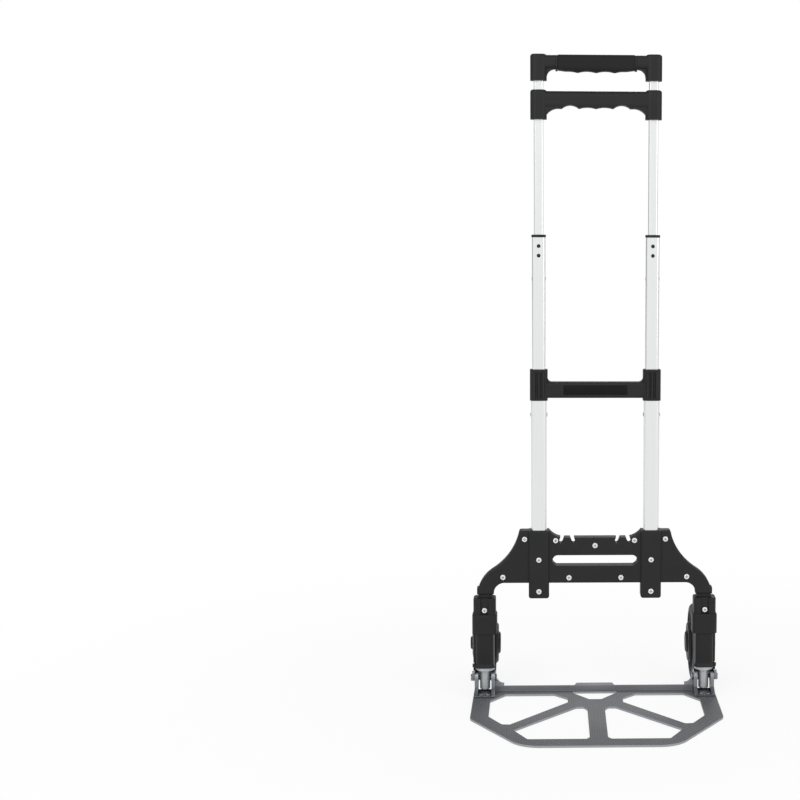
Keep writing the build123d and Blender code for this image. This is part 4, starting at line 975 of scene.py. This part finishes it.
@dataclass
class SnapClip:
    """Sprung strip bent to a V in a sliding tube, with two buttons.

    Attributes:
        level: the tube that it sits in, middle or upper.
        leg_half: distance from the tube's middle to the end of a leg, in metres as all its sizes are.
        pressed: share of its width that is left when the tube has slid in; not used.
        sunk: how far its buttons stay inside the CAD buttons, so that they pass into the next tube.
        strip: thickness of the strip.
        strip_half: half the width of the strip.
        strip_edge: radius of the strip's edges.
        strip_edge_steps: steps over such an edge.
        leg_above: height of the legs above the buttons.
        leg_below: height of the legs below the buttons, down to the bend.
        button_radius: radius of a button.
        button_round: radius of the rim of its head.
        round_steps: steps over that rim.
        spin_steps: steps round a button.
    """

    level: str
    leg_half: float
    pressed: float
    sunk: float = 0.0
    strip: float = 0.0008
    strip_half: float = 0.003
    strip_edge: float = 0.0002
    strip_edge_steps: int = 2
    leg_above: float = 0.005
    leg_below: float = 0.020
    button_radius: float = 0.003
    button_round: float = 0.0009
    round_steps: int = 5
    spin_steps: int = 32

    def add_strip(self, mesh: bmesh.types.BMesh, x: float, z: float) -> None:
        """Add the bent strip.

        Args:
            mesh: the bmesh that gets it.
            x: middle of the tube.
            z: height of the buttons.
        """
        top, bend = z + self.leg_above, z - self.leg_below
        inside = bend + self.strip * (top - bend) / self.leg_half
        outline = [
            (0.0, bend), (self.leg_half, top), (self.leg_half - self.strip, top),
            (0.0, inside), (self.strip - self.leg_half, top), (-self.leg_half, top),
        ]
        face = mesh.faces.new([mesh.verts.new((x + dx, -self.strip_half, dz)) for dx, dz in outline])
        deep = bmesh.ops.extrude_face_region(mesh, geom=[face])["geom"]
        moved = [v for v in deep if isinstance(v, bmesh.types.BMVert)]
        bmesh.ops.translate(mesh, vec=(0.0, 2 * self.strip_half, 0.0), verts=moved)
        bmesh.ops.bevel(
            mesh,
            geom=list(mesh.edges),
            offset=self.strip_edge,
            segments=self.strip_edge_steps,
            profile=ROUND_PROFILE,
            affect="EDGES",
            material=-1,
        )

    def add_button(self, mesh: bmesh.types.BMesh, x: float, z: float, reach: float) -> None:
        """Add one button with a rounded head.

        Args:
            mesh: the bmesh that gets it.
            x: middle of the tube.
            z: height of the button.
            reach: signed distance from the middle of the tube to the button's head.
        """
        sign = math.copysign(1.0, reach)
        inner = self.leg_half * self.leg_below / (self.leg_above + self.leg_below) - self.strip
        flat = self.button_radius - self.button_round
        profile = [(inner, 0.0), (inner, self.button_radius)]
        for step in range(self.round_steps + 1):
            angle = math.pi / 2 * step / self.round_steps
            profile.append((
                abs(reach) - self.button_round * (1 - math.sin(angle)),
                flat + self.button_round * math.cos(angle),
            ))
        profile.append((abs(reach), 0.0))
        verts = [mesh.verts.new((x + sign * dx, 0.0, z + dz)) for dx, dz in profile]
        edges = [mesh.edges.new(pair) for pair in zip(verts, verts[1:])]
        bmesh.ops.spin(
            mesh,
            geom=[*verts, *edges],
            cent=(x, 0.0, z),
            axis=(1.0, 0.0, 0.0),
            angle=2 * math.pi,
            steps=self.spin_steps,
            use_merge=True,
        )

    def build(self, side: str, joint: str, body: str, material: Material) -> None:
        """Make one clip in place of its CAD node.

        Args:
            side: left or right.
            joint: the slide that presses it in; not used.
            body: the body that carries it.
            material: its finish.
        """
        node = f"{side}_{self.level}_snap_spring"
        low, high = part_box(node)
        x, z = (low.x + high.x) / 2, high.z - self.leg_above
        reach = (high.x - low.x) / 2 - self.sunk
        mesh = bmesh.new()
        self.add_strip(mesh, x, z)
        for head in (-reach, reach):
            self.add_button(mesh, x, z, head)
        bmesh.ops.remove_doubles(mesh, verts=mesh.verts, dist=WELD_DISTANCE)
        bmesh.ops.recalc_face_normals(mesh, faces=mesh.faces)
        piece = new_piece(f"{side}_{self.level}_snap_clip", mesh, material, body)
        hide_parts(node)
        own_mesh(piece)


def middle_clip() -> SnapClip:
    """Size the clip in a middle tube.

    Returns:
        The clip.
    """
    return SnapClip("middle", leg_half=0.0088, pressed=0.80)


def upper_clip() -> SnapClip:
    """Size the clip in an upper tube.

    Returns:
        The clip.
    """
    return SnapClip("upper", leg_half=0.0059, pressed=0.75, sunk=0.00055)


@dataclass
class TubeSet(Assembly):
    """The three pairs of nested tubes, with collars, rivets, plugs and spring clips."""

    middle_clip: SnapClip = field(default_factory=middle_clip)
    upper_clip: SnapClip = field(default_factory=upper_clip)

    def build(self, book: FinishBook) -> None:
        """Make the clips that lock the sliding tubes.

        Args:
            book: the materials.
        """
        steel = book.materials[Finish.SPRING]
        for side in SIDES:
            self.middle_clip.build(side, f"{side}_middle_slide", f"{side}_middle", steel)
            self.upper_clip.build(side, "upper_slide", "upper", steel)

    def finishes(self) -> dict[Finish, list[str]]:
        """List the tubes' CAD nodes by finish.

        Returns:
            Names of the nodes under each finish.
        """
        plugs = [*both("middle_slide_plug"), *both("upper_slide_plug")]
        return {
            Finish.TUBE: [*both("lower_tube"), *both("middle_tube"), *both("upper_tube")],
            Finish.BLACK_PLASTIC: [*both("tube_collar"), *plugs],
            Finish.BLACK_OXIDE: both("collar_rivets"),
        }


@dataclass
class Crossbar(Assembly):
    """The bar that ties the tops of the lower tubes, with a blank label in it. Sizes are in metres."""

    label_size: Triple = (0.1012, 0.0004, 0.0142)
    label_centre: Triple = (0.0, -0.0095, 0.4993)
    label_corner: float = 0.0014
    label_edge: float = 0.00015

    def build(self, book: FinishBook) -> None:
        """Lay the blank label film in the recess.

        Args:
            book: the materials.
        """
        film = rounded_block(
            self.label_centre,
            self.label_size,
            axis=1,
            corner=self.label_corner,
            edge=self.label_edge,
        )
        piece = new_piece("crossbar_label_film", film, book.materials[Finish.LABEL_FILM], "frame")

    def finishes(self) -> dict[Finish, list[str]]:
        """List the crossbar's CAD nodes by finish.

        Returns:
            Names of the nodes under each finish.
        """
        return {
            Finish.BLACK_PLASTIC: ["crossbar"],
            Finish.SCREW: ["crossbar_screws"],
        }


@dataclass
class Grips(Assembly):
    """The double grip: the top grip with its soft sleeve, and the lower grip. Sizes are in metres.

    Attributes:
        band_x: distance from the middle to a band at an end of the sleeve.
        band_width: width of a band.
        band_proud: how far a band stands out of the bar.
        band_edge: radius of a band's rims.
        bar_depth: depth of the bar under the band.
        bar_height: height of that bar.
        bar_round: radius of that bar's corners.
        bar_centre_z: height of that bar's middle.
    """

    band_x: float = 0.0622
    band_width: float = 0.0036
    band_proud: float = 0.0009
    band_edge: float = 0.00045
    bar_depth: float = 0.020
    bar_height: float = 0.022
    bar_round: float = 0.008
    bar_centre_z: float = 1.0125

    def build(self, book: FinishBook) -> None:
        """Put a narrow band round the bar at each end of the soft sleeve.

        Args:
            book: the materials.
        """
        size = (
            self.band_width,
            self.bar_depth + 2 * self.band_proud,
            self.bar_height + 2 * self.band_proud,
        )
        for side, x in zip(SIDES, (-self.band_x, self.band_x)):
            band = rounded_block(
                (x, 0.0, self.bar_centre_z),
                size,
                axis=0,
                corner=self.bar_round + self.band_proud,
                edge=self.band_edge,
            )
            piece = new_piece(f"{side}_sleeve_band", band, book.materials[Finish.BLACK_PLASTIC], "upper")

    def finishes(self) -> dict[Finish, list[str]]:
        """List the grips' CAD nodes by finish.

        Returns:
            Names of the nodes under each finish.
        """
        return {
            Finish.BLACK_PLASTIC: ["top_grip", "lower_grip"],
            Finish.SOFT_GRIP: ["top_grip_sleeve"],
            Finish.SCREW: ["grip_screws"],
        }


@dataclass(frozen=True)
class Lamp:
    """One square soft lamp.

    Attributes:
        name: name of the lamp.
        place: where it hangs, in metres.
        size: length of its side.
        power: its power in watts.
    """

    name: str
    place: Triple
    size: float
    power: float

    def hang(self, aim: Triple) -> None:
        """Hang the lamp.

        Args:
            aim: the point that it faces.
        """
        data = bpy.data.lights.new(self.name, "AREA")
        data.shape = "SQUARE"
        data.size = self.size
        data.energy = self.power
        lamp = bpy.data.objects.new(self.name, data)
        lamp.location = self.place
        lamp.rotation_euler = (Vector(aim) - Vector(self.place)).to_track_quat("-Z", "Y").to_euler()
        bpy.context.scene.collection.objects.link(lamp)


@dataclass
class Studio:
    """Pale floor, white surroundings and soft lamps.

    Attributes:
        floor_half: half the side of the floor, in metres.
        floor_drop: how far the floor lies below the object's feet.
        paper: colour of the floor.
        near_white: how white the floor is to the eye under the object.
        fade_near: distance from the middle where the floor starts to fade to white.
        fade_far: distance where it is white.
        dome_light: strength of the light from all round.
        dome_rear_gloss: strength of what gloss mirrors from behind the object.
        gloss_front: place from front to rear, from -1 to 1, where the mirrored light starts to dim.
        gloss_rear: place where it is dimmest.
        aim: the point that the lamps face.
        lamps: the lamps.
    """

    floor_half: float = 6.0
    floor_drop: float = 0.0004
    paper: str = "#f2f2f2"
    near_white: float = 0.86
    fade_near: float = 0.3
    fade_far: float = 1.2
    dome_light: float = 0.66
    dome_rear_gloss: float = 0.40
    gloss_front: float = -0.6
    gloss_rear: float = 0.3
    aim: Triple = (0.0, 0.0, 0.5)
    lamps: tuple[Lamp, ...] = (
        Lamp("key_lamp", place=(-1.4, -2.2, 2.2), size=1.6, power=26.0),
        Lamp("fill_lamp", place=(1.9, -1.6, 1.3), size=1.6, power=12.0),
        Lamp("rear_lamp", place=(0.4, 2.2, 1.9), size=1.4, power=14.0),
    )

    def white_to_eye(self, tree: Tree) -> Socket:
        """Find the rays that the eye follows: straight, mirrored or refracted.

        Args:
            tree: node tree of the floor.

        Returns:
            A mask that is 1 for those rays.
        """
        path = add_node(tree, "ShaderNodeLightPath")
        seen = add_node(
            tree,
            "ShaderNodeMath",
            {0: path.outputs["Is Camera Ray"], 1: path.outputs["Is Glossy Ray"]},
            operation="MAXIMUM",
        )
        return add_node(
            tree,
            "ShaderNodeMath",
            {0: seen.outputs["Value"], 1: path.outputs["Is Transmission Ray"]},
            operation="MAXIMUM",
        ).outputs["Value"]

    def make_world(self) -> None:
        """Light the scene from all round, dimmer behind in gloss, in front of a white background."""
        world = bpy.data.worlds.new("studio")
        world.use_nodes = True
        tree = world.node_tree
        tree.nodes.clear()
        path = add_node(tree, "ShaderNodeLightPath")
        towards = add_node(tree, "ShaderNodeTexCoord").outputs["Generated"]
        parts = add_node(tree, "ShaderNodeSeparateXYZ", {"Vector": towards})
        mirrored = add_node(
            tree,
            "ShaderNodeMapRange",
            {
                "Value": parts.outputs["Y"],
                "From Min": self.gloss_front,
                "From Max": self.gloss_rear,
                "To Min": 1.0,
                "To Max": self.dome_rear_gloss,
            },
            interpolation_type="SMOOTHSTEP",
        )
        lit = add_node(tree, "ShaderNodeMix", {
            "Factor": path.outputs["Is Glossy Ray"],
            "A": self.dome_light,
            "B": mirrored.outputs["Result"],
        })
        strength = add_node(tree, "ShaderNodeMix", {
            "Factor": path.outputs["Is Camera Ray"],
            "A": lit.outputs["Result"],
            "B": 1.0,
        })
        shade = add_node(tree, "ShaderNodeBackground", {
            "Color": WHITE,
            "Strength": strength.outputs["Result"],
        })
        add_node(tree, "ShaderNodeOutputWorld", {"Surface": shade.outputs["Background"]})
        bpy.context.scene.world = world

    def floor_material(self) -> Material:
        """Make matt pale paper that keeps the shadow and is white to the eye away from the object.

        Returns:
            The material.
        """
        material, tree = blank_material("pale_paper_floor")
        place = add_node(tree, "ShaderNodeTexCoord").outputs["Object"]
        distance = add_node(tree, "ShaderNodeVectorMath", {0: place}, operation="LENGTH")
        fade = add_node(
            tree,
            "ShaderNodeMapRange",
            {
                "Value": distance.outputs["Value"],
                "From Min": self.fade_near,
                "From Max": self.fade_far,
                "To Min": self.near_white,
            },
            interpolation_type="SMOOTHSTEP",
        )
        seen = add_node(
            tree,
            "ShaderNodeMath",
            {0: fade.outputs["Result"], 1: self.white_to_eye(tree)},
            operation="MULTIPLY",
        )
        paper = add_node(tree, "ShaderNodeBsdfDiffuse", {"Color": linear(self.paper)})
        white = add_node(tree, "ShaderNodeEmission", {"Color": WHITE, "Strength": 1.0})
        surface = add_node(
            tree,
            "ShaderNodeMixShader",
            {0: seen.outputs["Value"], 1: paper.outputs["BSDF"], 2: white.outputs["Emission"]},
        )
        add_node(tree, "ShaderNodeOutputMaterial", {"Surface": surface.outputs["Shader"]})
        return material

    def make_floor(self) -> None:
        """Lay the floor."""
        mesh = bmesh.new()
        bmesh.ops.create_grid(mesh, x_segments=1, y_segments=1, size=self.floor_half)
        data = bpy.data.meshes.new("floor")
        mesh.to_mesh(data)
        mesh.free()
        floor = bpy.data.objects.new("floor", data)
        bpy.context.scene.collection.objects.link(floor)
        floor.data.materials.append(self.floor_material())
        floor.location.z = -self.floor_drop

    def build(self) -> None:
        """Set up the surroundings, the floor and the lamps."""
        self.make_world()
        self.make_floor()
        for lamp in self.lamps:
            lamp.hang(self.aim)


@dataclass
class PhotoCamera:
    """Camera at the photograph's angle.

    Attributes:
        place: where it stands, in metres.
        yaw: turn to the right of straight ahead, in degrees.
        pitch: tilt upwards, in degrees.
        roll: lean, in degrees.
        focal_px: focal length in pixels of the frame.
        centre_px: column of the frame that the lens points at.
        frame_px: width of the frame in pixels.
        sensor_mm: width of the sensor.
    """

    place: Triple = (-0.0746, -2.46236, 0.74684)
    yaw: float = 1.912
    pitch: float = -6.124
    roll: float = 0.186
    focal_px: float = 1544.24
    centre_px: float = 600.0
    frame_px: float = 800.0
    sensor_mm: float = 36.0

    def build(self) -> None:
        """Make the camera and set it as the scene's."""
        yaw, pitch, roll = (math.radians(angle) for angle in (self.yaw, self.pitch, self.roll))
        ahead = Vector((
            math.sin(yaw) * math.cos(pitch),
            math.cos(yaw) * math.cos(pitch),
            math.sin(pitch),
        ))
        level = Vector((math.cos(yaw), -math.sin(yaw), 0.0))
        upright = level.cross(ahead)
        right = level * math.cos(roll) + upright * math.sin(roll)
        up = right.cross(ahead)
        turn = Matrix((right, up, -ahead)).transposed().to_4x4()
        data = bpy.data.cameras.new("photo_camera")
        data.sensor_width = self.sensor_mm
        data.lens = self.focal_px / self.frame_px * self.sensor_mm
        data.shift_x = 0.5 - self.centre_px / self.frame_px
        camera = bpy.data.objects.new("photo_camera", data)
        camera.matrix_world = Matrix.Translation(self.place) @ turn
        bpy.context.scene.collection.objects.link(camera)
        bpy.context.scene.camera = camera


def main() -> None:
    """Dress the hand truck and set up its studio."""
    logging.basicConfig(level=logging.INFO, format="%(name)s: %(message)s")
    bpy.context.scene.view_settings.view_transform = "Standard"
    book = FinishBook()
    for assembly in (ToePlate(), Legs(), Wheels(), Chassis(), TubeSet(), Crossbar(), Grips()):
        assembly.build(book)
        book.dress(assembly.finishes())
        LOG.info("%s dressed", type(assembly).__name__)
    Studio().build()
    PhotoCamera().build()


if __name__ == "__main__":
    main()
